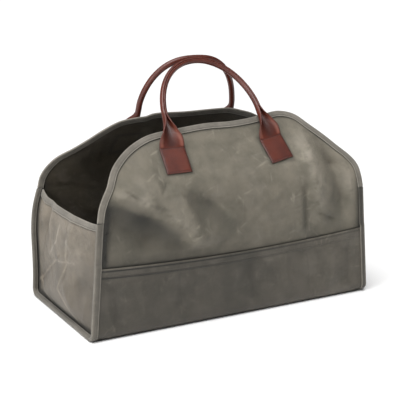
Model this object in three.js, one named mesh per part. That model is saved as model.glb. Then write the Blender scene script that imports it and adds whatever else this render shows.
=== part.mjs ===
// A canvas log carrier, standing open on its base. X runs along the bag, the front
// faces -Y, and Z = 0 is the surface that it stands on. Every length is in millimetres.
import * as THREE from "three";

const { lerp, clamp, smoothstep, degToRad } = THREE.MathUtils;

// Driving dimensions of the bag
const floorLength = 566; // from gusset to gusset at the floor
const mouthLength = 532; // from gusset to gusset at the top of the gussets
const baseDepth = 292; // from the front's outer face to the back's
const gussetHeight = 213; // top of the end gussets, at their corners
const gussetSag = 11; // how far a gusset's top edge hangs in the middle
const gussetPuff = 12; // how far a gusset bulges out
const backBow = 9; // how far the ends of the back bow out below the gussets' tops
const bandHeight = 133; // folded edge of the base panel, at its ends
const bandDip = 10; // how far that edge hangs lower halfway along
const bandOverlap = 16; // what an upper panel runs down behind it
const cornerRadius = 16; // bend between the floor and a side
const frontHeight = 353; // top edge of the front panel
const backHeight = 345; // top edge of the back panel
const frontTopReach = 65; // from the middle of the bag to the front's top edge
const backTopReach = 66; // from the middle of the bag to the back's top edge

// Cloth, tape and leather
const canvas = 1.5; // one layer of cloth
const tape = 1; // one layer of binding tape
const tapeWidth = 12; // what shows of the tape on each face
const seamFlange = 12; // how far the bound seams stand out past the gussets
const gap = 0.3; // between layers that lie on each other
const leather = 3; // a handle's tab
const tabWidth = 50;
const tabLength = 50;
const tabDrop = 95; // from the panel's top edge down the cloth to the tab's lower edge
const handleDiameter = 11.5;
const handleSpread = 202; // from leg to leg where the handle passes the top edge
const handleLift = 9; // from the cloth to the middle of the leather at that edge
const flareLength = 76; // from the tab to where the leather is fully rolled
const flareCurl = 8; // how far the leather's edges turn up in the flare
const frontHandleRise = 134; // from the top edge to the top of the handle, along it
const backHandleRise = 111;
const frontHandleLean = 0.95; // how far the handle leans in for each unit that it rises
const backHandleLean = 0.37;

// How a side leans in above the gussets: rise is a share of its height above them, and
// reach a share of the way from the top edge's place out to the upright part.
const lean = [
  { rise: 0, reach: 1 },
  { rise: 0.15, reach: 0.975 },
  { rise: 0.3, reach: 0.905 },
  { rise: 0.42, reach: 0.8 },
  { rise: 0.5, reach: 0.69 },
  { rise: 1, reach: 0 },
  { rise: 1.1, reach: -0.138 },
];

// Outlines of the upper panels over their shoulders: along is a share of half the top
// length, and rise a share of the panel's height above the gussets.
const frontOutline = [
  { along: -1, rise: 0 },
  { along: -0.985, rise: 0.16 },
  { along: -0.955, rise: 0.28 },
  { along: -0.91, rise: 0.4 },
  { along: -0.84, rise: 0.59 },
  { along: -0.75, rise: 0.73 },
  { along: -0.67, rise: 0.82 },
  { along: -0.57, rise: 0.91 },
  { along: -0.49, rise: 0.94 },
  { along: -0.27, rise: 0.96 },
  { along: -0.09, rise: 0.98 },
  { along: 0.09, rise: 0.97 },
  { along: 0.27, rise: 0.99 },
  { along: 0.38, rise: 1.02 },
  { along: 0.49, rise: 1.035 },
  { along: 0.6, rise: 0.98 },
  { along: 0.69, rise: 0.84 },
  { along: 0.77, rise: 0.71 },
  { along: 0.85, rise: 0.56 },
  { along: 0.92, rise: 0.43 },
  { along: 0.965, rise: 0.31 },
  { along: 0.985, rise: 0.17 },
  { along: 1, rise: 0 },
];
const backOutline = [
  { along: -1, rise: 0 },
  { along: -0.98, rise: 0.17 },
  { along: -0.94, rise: 0.31 },
  { along: -0.87, rise: 0.46 },
  { along: -0.77, rise: 0.58 },
  { along: -0.68, rise: 0.71 },
  { along: -0.59, rise: 0.85 },
  { along: -0.49, rise: 0.98 },
  { along: -0.36, rise: 1.03 },
  { along: -0.26, rise: 1.05 },
  { along: 0, rise: 1.03 },
  { along: 0.26, rise: 1.03 },
  { along: 0.36, rise: 1.02 },
  { along: 0.49, rise: 0.95 },
  { along: 0.59, rise: 0.88 },
  { along: 0.7, rise: 0.76 },
  { along: 0.8, rise: 0.61 },
  { along: 0.88, rise: 0.45 },
  { along: 0.94, rise: 0.31 },
  { along: 0.98, rise: 0.17 },
  { along: 1, rise: 0 },
];

// Folds run from one place to another. On a side, x is a share of half the mouth length
// and the other lengths are shares of the panel's height. A fold with a negative depth
// sinks in.
const frontFolds = [
  { x0: -0.91, z0: 0.77, x1: -0.3, z1: 0.43, width: 0.07, depth: 0.024 },
  { x0: -0.97, z0: 0.7, x1: -0.97, z1: 0.47, width: 0.05, depth: -0.026 },
  { x0: -0.9, z0: 0.55, x1: -0.6, z1: 0.46, width: 0.065, depth: -0.026 },
  { x0: -0.4, z0: 0.65, x1: -0.2, z1: 0.64, width: 0.05, depth: -0.014 },
  { x0: 0.55, z0: 0.87, x1: 0.65, z1: 0.74, width: 0.06, depth: 0.02 },
  { x0: 0.65, z0: 0.74, x1: 0.75, z1: 0.47, width: 0.06, depth: 0.022 },
  { x0: 0.82, z0: 0.85, x1: 0.88, z1: 0.6, width: 0.07, depth: -0.03 },
  { x0: 0.51, z0: 0.63, x1: 0.52, z1: 0.42, width: 0.045, depth: -0.016 },
  { x0: 0.65, z0: 0.5, x1: 0.85, z1: 0.43, width: 0.03, depth: -0.01 },
];
const backFolds = [
  { x0: -0.8, z0: 0.82, x1: -0.5, z1: 0.5, width: 0.08, depth: -0.024 },
  { x0: -0.1, z0: 0.7, x1: 0.15, z1: 0.45, width: 0.08, depth: -0.016 },
  { x0: 0.75, z0: 0.8, x1: 0.6, z1: 0.48, width: 0.07, depth: 0.018 },
  { x0: 0.9, z0: 0.7, x1: 0.85, z1: 0.48, width: 0.06, depth: -0.02 },
];

// On a gusset, y is a share of half the depth and the other lengths are shares of the
// gusset's height. Each gusset has its own folds.
const leftGussetFolds = [
  { x0: -0.9, z0: 0.42, x1: -0.45, z1: 0.36, width: 0.13, depth: -0.034 },
  { x0: 0.17, z0: 0.5, x1: 0.85, z1: 0.2, width: 0.07, depth: -0.026 },
  { x0: -0.2, z0: 0.62, x1: -0.06, z1: 0.33, width: 0.06, depth: -0.02 },
  { x0: 0.6, z0: 0.95, x1: 0.66, z1: 0.7, width: 0.07, depth: -0.03 },
];
const rightGussetFolds = [
  { x0: 0.75, z0: 0.5, x1: 0.35, z1: 0.3, width: 0.12, depth: -0.03 },
  { x0: -0.15, z0: 0.85, x1: -0.3, z1: 0.4, width: 0.08, depth: -0.028 },
  { x0: -0.75, z0: 0.3, x1: -0.35, z1: 0.2, width: 0.07, depth: -0.02 },
];

// How a handle's leather narrows from its tab: along is a share of the flare's length,
// and wide a share of the way from the rolled width to the tab's.
const flare = [
  { along: 0, wide: 1 },
  { along: 0.24, wide: 0.87 },
  { along: 0.49, wide: 0.48 },
  { along: 0.68, wide: 0.2 },
  { along: 0.86, wide: 0.07 },
  { along: 1, wide: 0 },
];

// The legs of a handle: tab is a share of half the spread, and tilt turns the tab, in
// degrees, with its top towards the middle.
const frontLegs = [
  { end: -1, tab: 1.08, tilt: 0 },
  { end: 1, tab: 0.955, tilt: 11 },
];
const backLegs = [
  { end: -1, tab: 1.03, tilt: 5 },
  { end: 1, tab: 1.03, tilt: 5 },
];

// Sizes that follow from these
const layerPitch = canvas + gap; // from one layer of a seam to the next
const tapeStandoff = canvas / 2 + gap + tape / 2; // from a cloth's middle to the tape's
const tapeRoom = 2 * (tape + gap); // what the tape takes past an edge inside a flange
const sheetReach = seamFlange - tapeRoom; // how far the cloth runs into the flange
const tapeLeg = tapeWidth - 2 * tape; // from an edge back to the tape's own edge
const edgeLift = tape + gap; // how far the tape lifts the base at its ends
const liftRun = 22; // where the base rises to that height
const bandClear = bandHeight + 6; // above this the upper panels are free to fold
const bandLower = bandHeight - bandDip - bandOverlap; // an upper panel's lower edge

// Reads a column of a table at a place along its key, on a smooth curve through the rows.
function read(table, key, column, at) {
  const last = table.length - 1;
  const found = table.findIndex((row) => row[key] >= at);
  const i = found < 0 ? last : Math.max(found, 1);
  const slope = (k) => {
    const before = table[Math.max(k - 1, 0)];
    const after = table[Math.min(k + 1, last)];
    return (after[column] - before[column]) / (after[key] - before[key]);
  };
  const span = table[i][key] - table[i - 1][key];
  const t = (at - table[i - 1][key]) / span;
  const ease = t * t * (3 - 2 * t);
  const bend = t * (1 - t) * ((1 - t) * slope(i - 1) - t * slope(i)) * span;
  return lerp(table[i - 1][column], table[i][column], ease) + bend;
}

// How far the folds of a table move a place out, given the units of its lengths.
function foldDepth(folds, x, z, acrossUnit, upUnit) {
  const place = new THREE.Vector3(x, z, 0);
  const nearest = new THREE.Vector3();
  let total = 0;
  for (const fold of folds) {
    const line = new THREE.Line3(
      new THREE.Vector3(fold.x0 * acrossUnit, fold.z0 * upUnit, 0),
      new THREE.Vector3(fold.x1 * acrossUnit, fold.z1 * upUnit, 0),
    );
    line.closestPointToPoint(place, true, nearest);
    const away = place.distanceTo(nearest) / (fold.width * upUnit);
    total += fold.depth * upUnit * Math.exp(-away * away);
  }
  return total;
}

// A sheet is a grid of points on the middle of its cloth, with points that coincide
// made one. It keeps its faces and the direction that each point faces. From the row
// turnRow on, its squares are split along their other diagonal.
function makeSheet(columns, turnRow = Infinity) {
  const points = [];
  const known = new Map();
  const weld = (point) => {
    const key = point.toArray().map((v) => Math.round(v * 1e3)).join();
    if (!known.has(key)) known.set(key, points.push(point) - 1);
    return known.get(key);
  };
  const grid = columns.map((column) => column.map(weld));
  const faces = [];
  for (let i = 0; i + 1 < grid.length; i++) {
    for (let j = 0; j + 1 < grid[i].length; j++) {
      const corners = [grid[i][j], grid[i + 1][j], grid[i + 1][j + 1], grid[i][j + 1]];
      const halves = j < turnRow ? [[0, 1, 2], [0, 2, 3]] : [[0, 1, 3], [1, 2, 3]];
      for (const [a, b, c] of halves) {
        const face = [corners[a], corners[b], corners[c]];
        if (new Set(face).size === 3) faces.push(face);
      }
    }
  }
  const normals = points.map(() => new THREE.Vector3());
  for (const face of faces) {
    const [a, b, c] = face.map((index) => points[index]);
    const facing = new THREE.Triangle(a, b, c).getNormal(new THREE.Vector3());
    face.forEach((index, k) => {
      const one = points[face[(k + 1) % 3]].clone().sub(points[index]);
      const other = points[face[(k + 2) % 3]].clone().sub(points[index]);
      normals[index].addScaledVector(facing, one.angleTo(other));
    });
  }
  normals.forEach((normal) => normal.normalize());
  return { points, grid, faces, normals };
}

// A sheet's cloth, given its thickness: a face on each side and a rim along its edges.
function clothGeometry(sheet, thickness) {
  const count = sheet.points.length;
  const offset = (sign) => (point, i) =>
    point.clone().addScaledVector(sheet.normals[i], (sign * thickness) / 2).toArray();
  const positions = [
    ...sheet.points.flatMap(offset(1)),
    ...sheet.points.flatMap(offset(-1)),
  ];
  const index = [];
  const edges = new Set();
  for (const [a, b, c] of sheet.faces) {
    index.push(a, b, c, a + count, c + count, b + count);
    for (const [from, to] of [[a, b], [b, c], [c, a]]) edges.add(from + "," + to);
  }
  for (const edge of edges) {
    const [from, to] = edge.split(",").map(Number);
    if (edges.has(to + "," + from)) continue;
    index.push(to, from, from + count, to, from + count, to + count);
  }
  const geometry = new THREE.BufferGeometry();
  geometry.setAttribute("position", new THREE.Float32BufferAttribute(positions, 3));
  geometry.setIndex(index);
  geometry.computeVertexNormals();
  return geometry;
}

// Half the length from gusset to gusset at a height, at a distance towards the back.
function halfLength(z, y) {
  const share = clamp(z / gussetHeight, 0, 1);
  const towardsBack = clamp(0.5 + y / baseDepth, 0, 1);
  const bow = backBow * towardsBack * towardsBack * Math.sin(Math.PI * share * share);
  return lerp(floorLength, mouthLength, share) / 2 + bow;
}

// How far the base and its seams are lifted at a place along the bag and a height.
function liftAt(x, z) {
  const start = floorLength / 2 - liftRun - 2 * tape;
  const share = clamp((Math.abs(x) - start) / liftRun, 0, 1);
  return edgeLift * share * Math.max(0, 1 - z / bandHeight);
}

// A line round the bag from the front, under the floor and up the back. Layers are
// counted inwards: the base panel, an upper panel, and the turned edge of a gusset.
// Each station has its place and the direction that the cloth faces there.
function girthLine(layer, heights, floorSteps) {
  const inset = canvas / 2 + layer * layerPitch;
  const out = baseDepth / 2 - inset;
  const radius = cornerRadius - inset;
  const arcSteps = 3;
  const front = heights.map((z) => ({ y: -out, z, faceY: -1, faceZ: 0 }));
  for (let i = 0; i <= arcSteps; i++) {
    const angle = ((i / arcSteps) * Math.PI) / 2;
    const faceY = -Math.cos(angle);
    const faceZ = -Math.sin(angle);
    const y = radius - out + radius * faceY;
    front.push({ y, z: inset + radius + radius * faceZ, faceY, faceZ });
  }
  const flat = [];
  for (let i = 1; i < floorSteps; i++) {
    const y = lerp(radius - out, out - radius, i / floorSteps);
    flat.push({ y, z: inset, faceY: 0, faceZ: -1 });
  }
  const mirrored = front.map((s) => ({ ...s, y: -s.y, faceY: -s.faceY })).reverse();
  return [...front, ...flat, ...mirrored];
}

// The base panel is one piece: the front band, the floor and the back band.
function basePanel() {
  const columns = [];
  const stations = [
    { share: -1, past: sheetReach },
    { share: -1, past: -2 * tape },
    { share: -1, past: -2 * tape - liftRun },
    ...[-0.72, -0.48, -0.24, 0, 0.24, 0.48, 0.72].map((share) => ({ share, past: 0 })),
    { share: 1, past: -2 * tape - liftRun },
    { share: 1, past: -2 * tape },
    { share: 1, past: sheetReach },
  ];
  for (const { share, past } of stations) {
    const edge = bandHeight - bandDip * (1 - share * share);
    const line = girthLine(0, [edge, 0.72 * bandLower, 0.4 * bandLower], 6);
    columns.push(
      line.map(({ y, z }) => {
        const x = share * halfLength(z, y) + Math.sign(share) * past;
        return new THREE.Vector3(x, y, z + liftAt(x, z));
      }),
    );
  }
  return makeSheet(columns);
}

// The two upper panels stand on the base panel's bands and lean in over the opening.
const front = {
  side: -1,
  height: frontHeight,
  topReach: frontTopReach,
  outline: frontOutline,
  folds: frontFolds,
  legs: frontLegs,
  handleRise: frontHandleRise,
  handleLean: frontHandleLean,
};
const back = {
  side: 1,
  height: backHeight,
  topReach: backTopReach,
  outline: backOutline,
  folds: backFolds,
  legs: backLegs,
  handleRise: backHandleRise,
  handleLean: backHandleLean,
};
const panelReach = baseDepth / 2 - canvas / 2 - layerPitch;

// Half the length from gusset to gusset at a height, along a side.
function halfLengthOf(panel, z) {
  return halfLength(z, (panel.side * baseDepth) / 2);
}

// How far a side's cloth stands from the middle of the bag at a height.
function reachAt(panel, z) {
  const rise = (z - gussetHeight) / (panel.height - gussetHeight);
  const share = rise < 0 ? 1 : read(lean, "rise", "reach", rise);
  return lerp(panel.topReach, panelReach, share);
}

// How far the straight upper part of a side leans in for each unit that it rises.
function leanRate(panel) {
  const top = lean.find((row) => row.rise === 1);
  const below = lean[lean.indexOf(top) - 1];
  const run = (below.reach - top.reach) * (panelReach - panel.topReach);
  return run / ((top.rise - below.rise) * (panel.height - gussetHeight));
}

// Lowest height of a side's tabs, whose cloth is flat from a little below there up.
function tabFoot(panel) {
  return panel.height - tabDrop / Math.hypot(1, leanRate(panel));
}

// How much a side may fold at a place: not in its seams, nor under the tabs.
function freedom(panel, x, z) {
  const fromBand = smoothstep(z, bandClear, bandClear + 20);
  const fromFlange = smoothstep(halfLengthOf(panel, z) - Math.abs(x), 0, 20);
  const overGusset = smoothstep(z, gussetHeight, gussetHeight + 25);
  const fromTab = Math.abs(Math.abs(x) - handleSpread / 2) - 0.75 * tabWidth;
  const underTab = smoothstep(tabFoot(panel) - z, 12, 32);
  const clear = Math.max(smoothstep(fromTab, 0, 20), underTab);
  return fromBand * Math.max(fromFlange, overGusset) * clear;
}

function upperPanel(panel) {
  const crown = panel.height - gussetHeight;
  const topHalf = mouthLength / 2 + sheetReach;
  const upright = [bandLower, bandClear, lerp(bandClear, gussetHeight, 0.5)];
  const edgeOf = (z) => halfLengthOf(panel, z) + sheetReach;
  const outline = [
    ...upright.map((z) => ({ x: -edgeOf(z), z })),
    ...panel.outline.map((row) => ({
      x: row.along * topHalf,
      z: gussetHeight + row.rise * crown,
    })),
    ...upright.map((z) => ({ x: edgeOf(z), z })).reverse(),
  ];
  // Where the tape's own edge runs, square to the outline, or level on the upright sides.
  const slopeCosine = (z) => {
    const fall = reachAt(panel, z - 1) - reachAt(panel, z + 1);
    return 1 / Math.hypot(1, fall / 2);
  };
  const inner = outline.map((place, k) => {
    const before = outline[Math.max(k - 1, 0)];
    const after = outline[Math.min(k + 1, outline.length - 1)];
    const cosine = slopeCosine(place.z);
    const run = new THREE.Vector2(after.x - before.x, (after.z - before.z) / cosine);
    if (place.z <= gussetHeight) run.set(0, -Math.sign(place.x));
    run.normalize().multiplyScalar(tapeLeg);
    return { x: place.x + run.y, z: place.z - run.x * cosine };
  });
  // The columns spread out evenly below the shoulders.
  const last = outline.length - 1;
  const shoulder = 0.6 * topHalf;
  const firstMiddle = outline.findIndex((place) => place.x > -shoulder);
  const lastMiddle = outline.findLastIndex((place) => place.x < shoulder);
  const footX = (k) => {
    if (k < firstMiddle) return lerp(inner[0].x, inner[firstMiddle].x, k / firstMiddle);
    if (k <= lastMiddle) return inner[k].x;
    const share = (k - lastMiddle) / (last - lastMiddle);
    return lerp(inner[lastMiddle].x, inner[last].x, share);
  };
  const rows = 8;
  const place3 = (x, z) => {
    const folds = foldDepth(panel.folds, x, z, mouthLength / 2, panel.height);
    const reach = reachAt(panel, z) + folds * freedom(panel, x, z);
    return new THREE.Vector3(x, panel.side * reach, z);
  };
  const columns = outline.map((edge, k) => {
    const foot = { x: footX(k), z: bandLower };
    const heights = [bandLower];
    const low = Math.min(bandClear, inner[k].z);
    for (let j = 0; j <= rows; j++) heights.push(lerp(low, inner[k].z, j / rows));
    const column = heights.map((z) => {
      const span = inner[k].z - foot.z;
      const share = span > 0 ? (z - foot.z) / span : 1;
      return place3(lerp(foot.x, inner[k].x, share), z);
    });
    return [...column, place3(edge.x, edge.z)];
  });
  // The grid is turned so that its faces look out of the bag.
  return makeSheet(panel.side < 0 ? columns : columns.reverse());
}

// Tape folded over the last strip of a sheet, along the columns that are given. The
// strip lies between the column's two last points, of which the very last is the edge.
function foldedTape(sheet, from, to) {
  const columns = [];
  const tip = gap + tape / 2;
  for (let k = from; k <= to; k++) {
    const column = sheet.grid[k];
    const [innerIndex, edgeIndex] = column.slice(-2);
    const edge = sheet.points[edgeIndex];
    const inside = sheet.points[innerIndex];
    const out = edge.clone().sub(inside).normalize();
    const at = (point, normal, past, side) =>
      point.clone().addScaledVector(out, past).addScaledVector(normal, side * tapeStandoff);
    const edgeNormal = sheet.normals[edgeIndex];
    const insideNormal = sheet.normals[innerIndex];
    columns.push([
      at(inside, insideNormal, 0, 1),
      at(edge, edgeNormal, tip, 1),
      at(edge, edgeNormal, 2 * tip, 0),
      at(edge, edgeNormal, tip, -1),
      at(inside, insideNormal, 0, -1),
    ]);
  }
  return makeSheet(columns, 2);
}

// The tape over an upper panel's free edge, from one gusset's top to the other's.
function edgeBinding(sheet, panel) {
  const onGusset = (column) => {
    const z = sheet.points[column[column.length - 1]].z;
    return z >= gussetHeight - gap && z <= gussetHeight + gap;
  };
  const from = sheet.grid.findIndex(onGusset);
  const to = sheet.grid.findLastIndex(onGusset);
  return foldedTape(sheet, from, to);
}

// An end gusset: a free top edge, a bulging middle and an edge that is turned out into
// the seam. The first and last columns close the turned edge at the top corners.
function gusset(end, folds) {
  const corner = gussetHeight - tapeRoom;
  const foot = corner - tapeLeg;
  const rim = girthLine(2, [foot, 0.76 * foot, 0.53 * foot, 0.3 * foot], 6);
  const half = rim[rim.length - 1].y;
  const tapeEnd = half - tapeStandoff - tape - gap;
  const swell = (y) => Math.cos(((y / half) * Math.PI) / 2) ** 2;
  const sag = (y) => gussetSag * (1 - (y / half) ** 6);
  const bulge = (y, z) => {
    const t = z / gussetHeight;
    const depth = gussetPuff * (3.6 * t * (1 - t) + 0.35 * t);
    return (depth + foldDepth(folds, y, z, half, gussetHeight)) * swell(y);
  };
  const place = (y, z, past) => {
    const x = halfLength(z, y) + past;
    return new THREE.Vector3(end * x, y, z + liftAt(x, z));
  };
  const topY = rim.map((station, k) => {
    if (k === 0) return -half;
    if (k === rim.length - 1) return half;
    return lerp(-tapeEnd, tapeEnd, (k - 1) / (rim.length - 3));
  });
  const rows = 6;
  const columns = rim.map((station, k) => {
    const edge = corner - sag(topY[k]);
    const below = edge - tapeLeg;
    const column = [place(station.y, station.z, sheetReach)];
    for (let j = 0; j <= rows; j++) {
      const y = lerp(station.y, topY[k], j / rows);
      const z = lerp(station.z, below, j / rows);
      column.push(place(y, z, j ? bulge(y, z) : 0));
    }
    return [...column, place(topY[k], edge, bulge(topY[k], edge))];
  });
  const closing = (y) => {
    const lower = Array.from({ length: rows + 2 }, () => place(y, foot, sheetReach));
    return [...lower, place(y, corner, sheetReach)];
  };
  const all = [closing(-half), ...columns, closing(half)];
  return makeSheet(end < 0 ? all.reverse() : all);
}

// The bound seam round a gusset: tape folded over every layer that meets there.
function seamBinding(end) {
  const top = gussetHeight - gap;
  const heights = [top, 0.83 * top, bandHeight + 9, bandHeight + 2, 0.4 * bandHeight];
  const line = girthLine(1, heights, 6);
  const tipReach = sheetReach + gap + tape / 2 - 0.2;
  const innerStart = 2 * canvas + gap;
  const columns = line.map((station) => {
    const overBand = station.z > bandHeight + 5;
    const outer = tapeStandoff + (overBand ? 0 : layerPitch);
    const inner = tapeStandoff + layerPitch;
    const at = (past, offset) => {
      const y = station.y + station.faceY * offset;
      const z = station.z + station.faceZ * offset;
      const x = halfLength(station.z, station.y) + past;
      return new THREE.Vector3(end * x, y, z + liftAt(x, station.z));
    };
    return [
      at(0, outer),
      at(tipReach, outer),
      at(seamFlange - tape / 2, (outer - inner) / 2),
      at(tipReach, -inner),
      at(innerStart, -inner),
    ];
  });
  return makeSheet(end < 0 ? columns.reverse() : columns);
}

// A handle is one strip of leather: a flat tab at each end, a flare, and a rolled grip.
function handleGeometry(panel) {
  const rate = leanRate(panel);
  const up = new THREE.Vector3(0, -panel.side * rate, 1).normalize();
  const out = new THREE.Vector3(0, panel.side, rate).normalize();
  const archUp = new THREE.Vector3(0, -panel.side * panel.handleLean, 1).normalize();
  const archOut = new THREE.Vector3(0, panel.side, panel.handleLean).normalize();
  const edge = new THREE.Vector3(0, panel.side * panel.topReach, panel.height);
  const tabLift = canvas / 2 + gap + leather / 2;
  const legPoints = (leg) => {
    const turn = degToRad(leg.tilt) * -leg.end;
    const along = up.clone().multiplyScalar(Math.cos(turn));
    along.x = Math.sin(turn);
    const top = edge.clone().addScaledVector(up, tabLength - tabDrop);
    top.addScaledVector(out, tabLift);
    top.x = (leg.end * leg.tab * handleSpread) / 2;
    const foot = top.clone().addScaledVector(along, -tabLength);
    const middle = foot.clone().lerp(top, 0.5);
    return [foot, middle, top];
  };
  const arch = [];
  const archSteps = 12;
  for (let i = 0; i <= archSteps; i++) {
    const angle = (i / archSteps) * Math.PI;
    const point = edge.clone().addScaledVector(out, handleLift);
    point.addScaledVector(archUp, panel.handleRise * Math.sin(angle));
    point.x = (-Math.cos(angle) * handleSpread) / 2;
    arch.push(point);
  }
  const [first, second] = panel.legs.map(legPoints);
  const path = new THREE.CatmullRomCurve3([...first, ...arch, ...second.reverse()]);
  path.arcLengthDivisions = 800;
  const length = path.getLength();
  const legRun = [0, tabLength, ...flare.slice(1).map((r) => tabLength + r.along * flareLength)];
  const gripSteps = 12;
  const grip = length - 2 * legRun[legRun.length - 1];
  const stops = [...legRun];
  for (let i = 1; i < gripSteps; i++) {
    stops.push(legRun[legRun.length - 1] + (grip * i) / gripSteps);
  }
  stops.push(...legRun.map((s) => length - s).reverse());

  // Each ring starts as a flat band and ends as a circle, with its edges turned up
  // on the way.
  const sides = 10;
  const radius = handleDiameter / 2;
  const positions = [];
  for (const stop of stops) {
    const fromEnd = Math.min(stop, length - stop);
    const along = clamp((fromEnd - tabLength) / flareLength, 0, 1);
    const wide = read(flare, "along", "wide", along);
    const round = 1 - wide;
    const centre = path.getPointAt(clamp(stop / length, 0, 1));
    const forward = path.getTangentAt(clamp(stop / length, 0, 1));
    const facing = out.clone().lerp(archOut, round);
    const across = facing.clone().cross(forward).normalize();
    facing.crossVectors(forward, across).normalize();
    const halfWidth = lerp(handleDiameter, tabWidth, wide) / 2;
    for (let i = 0; i < sides; i++) {
      const angle = ((i + 0.5) / sides) * 2 * Math.PI;
      const c = Math.cos(angle);
      const s = Math.sin(angle);
      const bandAcross = Math.abs(c) > 0.9 ? Math.sign(c) : c;
      const sideways = lerp(bandAcross, c, round) * halfWidth;
      const curl = flareCurl * 4 * round * wide * bandAcross * bandAcross;
      const outwards = lerp((Math.sign(s) * leather) / 2, s * radius, round) + curl;
      const point = centre.clone().addScaledVector(across, sideways);
      positions.push(...point.addScaledVector(facing, outwards).toArray());
    }
  }
  const index = [];
  for (let r = 0; r + 1 < stops.length; r++) {
    for (let i = 0; i < sides; i++) {
      const a = r * sides + i;
      const b = r * sides + ((i + 1) % sides);
      index.push(a, b, b + sides, a, b + sides, a + sides);
    }
  }
  const lastRing = (stops.length - 1) * sides;
  for (let i = 1; i + 1 < sides; i++) {
    index.push(0, i + 1, i, lastRing, lastRing + i, lastRing + i + 1);
  }
  const geometry = new THREE.BufferGeometry();
  geometry.setAttribute("position", new THREE.Float32BufferAttribute(positions, 3));
  geometry.setIndex(index);
  geometry.computeVertexNormals();
  return geometry;
}

// Finishes
const finish = (color, roughness) =>
  new THREE.MeshStandardMaterial({ color, roughness, metalness: 0 });
const waxedCanvas = finish(0x6d685f, 0.75);
const gussetCanvas = finish(0x948a7f, 0.75);
const bindingTape = finish(0x8e897f, 0.9);
const handleLeather = finish(0x6b4135, 0.45);

// The bag
const bag = new THREE.Group();
bag.name = "log_carrier";
function add(name, geometry, material) {
  const mesh = new THREE.Mesh(geometry, material);
  mesh.name = name;
  bag.add(mesh);
}
add("base_panel", clothGeometry(basePanel(), canvas), waxedCanvas);
for (const [name, panel] of [["front", front], ["back", back]]) {
  const sheet = upperPanel(panel);
  add(name + "_panel", clothGeometry(sheet, canvas), waxedCanvas);
  add(name + "_edge_binding", clothGeometry(edgeBinding(sheet, panel), tape), bindingTape);
  add(name + "_handle", handleGeometry(panel), handleLeather);
}
for (const [name, end, folds] of [
  ["left", -1, leftGussetFolds],
  ["right", 1, rightGussetFolds],
]) {
  const sheet = gusset(end, folds);
  const topTape = foldedTape(sheet, 2, sheet.grid.length - 3);
  add(name + "_gusset", clothGeometry(sheet, canvas), gussetCanvas);
  add(name + "_gusset_binding", clothGeometry(topTape, tape), bindingTape);
  add(name + "_seam_binding", clothGeometry(seamBinding(end), tape), bindingTape);
}

export default bag;
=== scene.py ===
# %% [markdown]
# # A canvas log carrier
# The bag is a stiff waxed cloth sewn into an open box, with binding tape over its seams
# and two rolled leather handles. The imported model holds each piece's true place, so it
# is loaded first as a fixed frame. Each cloth, tape and handle is then made again here
# with its folds, its relief and its finish, exactly where its plain solid stands.

import bmesh
import bpy
import numpy as np
from mathutils import Matrix, Vector


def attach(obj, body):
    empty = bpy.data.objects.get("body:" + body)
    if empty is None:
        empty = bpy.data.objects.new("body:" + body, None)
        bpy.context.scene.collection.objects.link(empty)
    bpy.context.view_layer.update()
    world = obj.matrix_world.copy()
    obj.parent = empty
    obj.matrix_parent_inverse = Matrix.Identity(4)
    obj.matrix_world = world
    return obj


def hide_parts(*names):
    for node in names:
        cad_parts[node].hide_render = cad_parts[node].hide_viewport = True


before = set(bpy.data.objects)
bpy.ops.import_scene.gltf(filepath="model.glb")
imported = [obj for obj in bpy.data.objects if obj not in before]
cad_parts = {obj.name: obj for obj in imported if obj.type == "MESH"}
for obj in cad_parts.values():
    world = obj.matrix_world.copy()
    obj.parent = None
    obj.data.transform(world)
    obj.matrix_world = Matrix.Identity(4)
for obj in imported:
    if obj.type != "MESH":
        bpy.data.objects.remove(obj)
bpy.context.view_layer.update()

# %% [markdown]
# ## Sizes
# All lengths are in metres. These are the sizes that the pattern of the bag needs: the
# box that the cloth makes, the allowance in its seams, the tape, and the leather. X runs
# along the bag, the front faces -Y, and Z = 0 is what it stands on.

# %% Sizes of the bag
floor_length = 0.566
mouth_length = 0.532
base_depth = 0.292
gusset_height = 0.213
gusset_sag = 0.011
gusset_puff = 0.012
back_bow = 0.009
band_height = 0.133
band_dip = 0.010
band_overlap = 0.016
corner_radius = 0.016
canvas = 0.0015
tape = 0.001
tape_width = 0.012
seam_flange = 0.012
gap = 0.0003

# %% Sizes that follow
layer_pitch = canvas + gap
tape_standoff = canvas / 2 + gap + tape / 2
sheet_reach = seam_flange - 2 * (tape + gap)
tape_leg = tape_width - 2 * tape
edge_lift = tape + gap
lift_run = 0.022
band_clear = band_height + 0.006
band_lower = band_height - band_dip - band_overlap
panel_reach = base_depth / 2 - canvas / 2 - layer_pitch
print(f"cloth runs {sheet_reach * 1000:.1f} mm into a seam")

# %% [markdown]
# ## Curves from short tables
# A side of the bag leans in over the opening along a curve, and its outline runs over
# round shoulders. A table with a few rows gives each of them. They could be drawn as
# Bezier curves, but a table read with smooth slopes is shorter, and numpy reads it for a
# whole sheet of cloth at once.

# %% Read a table smoothly
def read(rows, at):
    keys, values = np.array(rows).T
    slopes = np.gradient(values, keys)
    i = np.clip(np.searchsorted(keys, at) - 1, 0, len(keys) - 2)
    span = keys[i + 1] - keys[i]
    t = np.clip((at - keys[i]) / span, -0.5, 1.5)
    ease = t * t * (3 - 2 * t)
    bend = t * (1 - t) * ((1 - t) * slopes[i] - t * slopes[i + 1]) * span
    return values[i] * (1 - ease) + values[i + 1] * ease + bend


def smoothstep(x, low, high):
    t = np.clip((x - low) / (high - low), 0, 1)
    return t * t * (3 - 2 * t)


def near(distance, width):
    """1 on a line, and almost nothing two widths away from it."""
    return np.exp(-((distance / width) ** 2))


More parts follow.
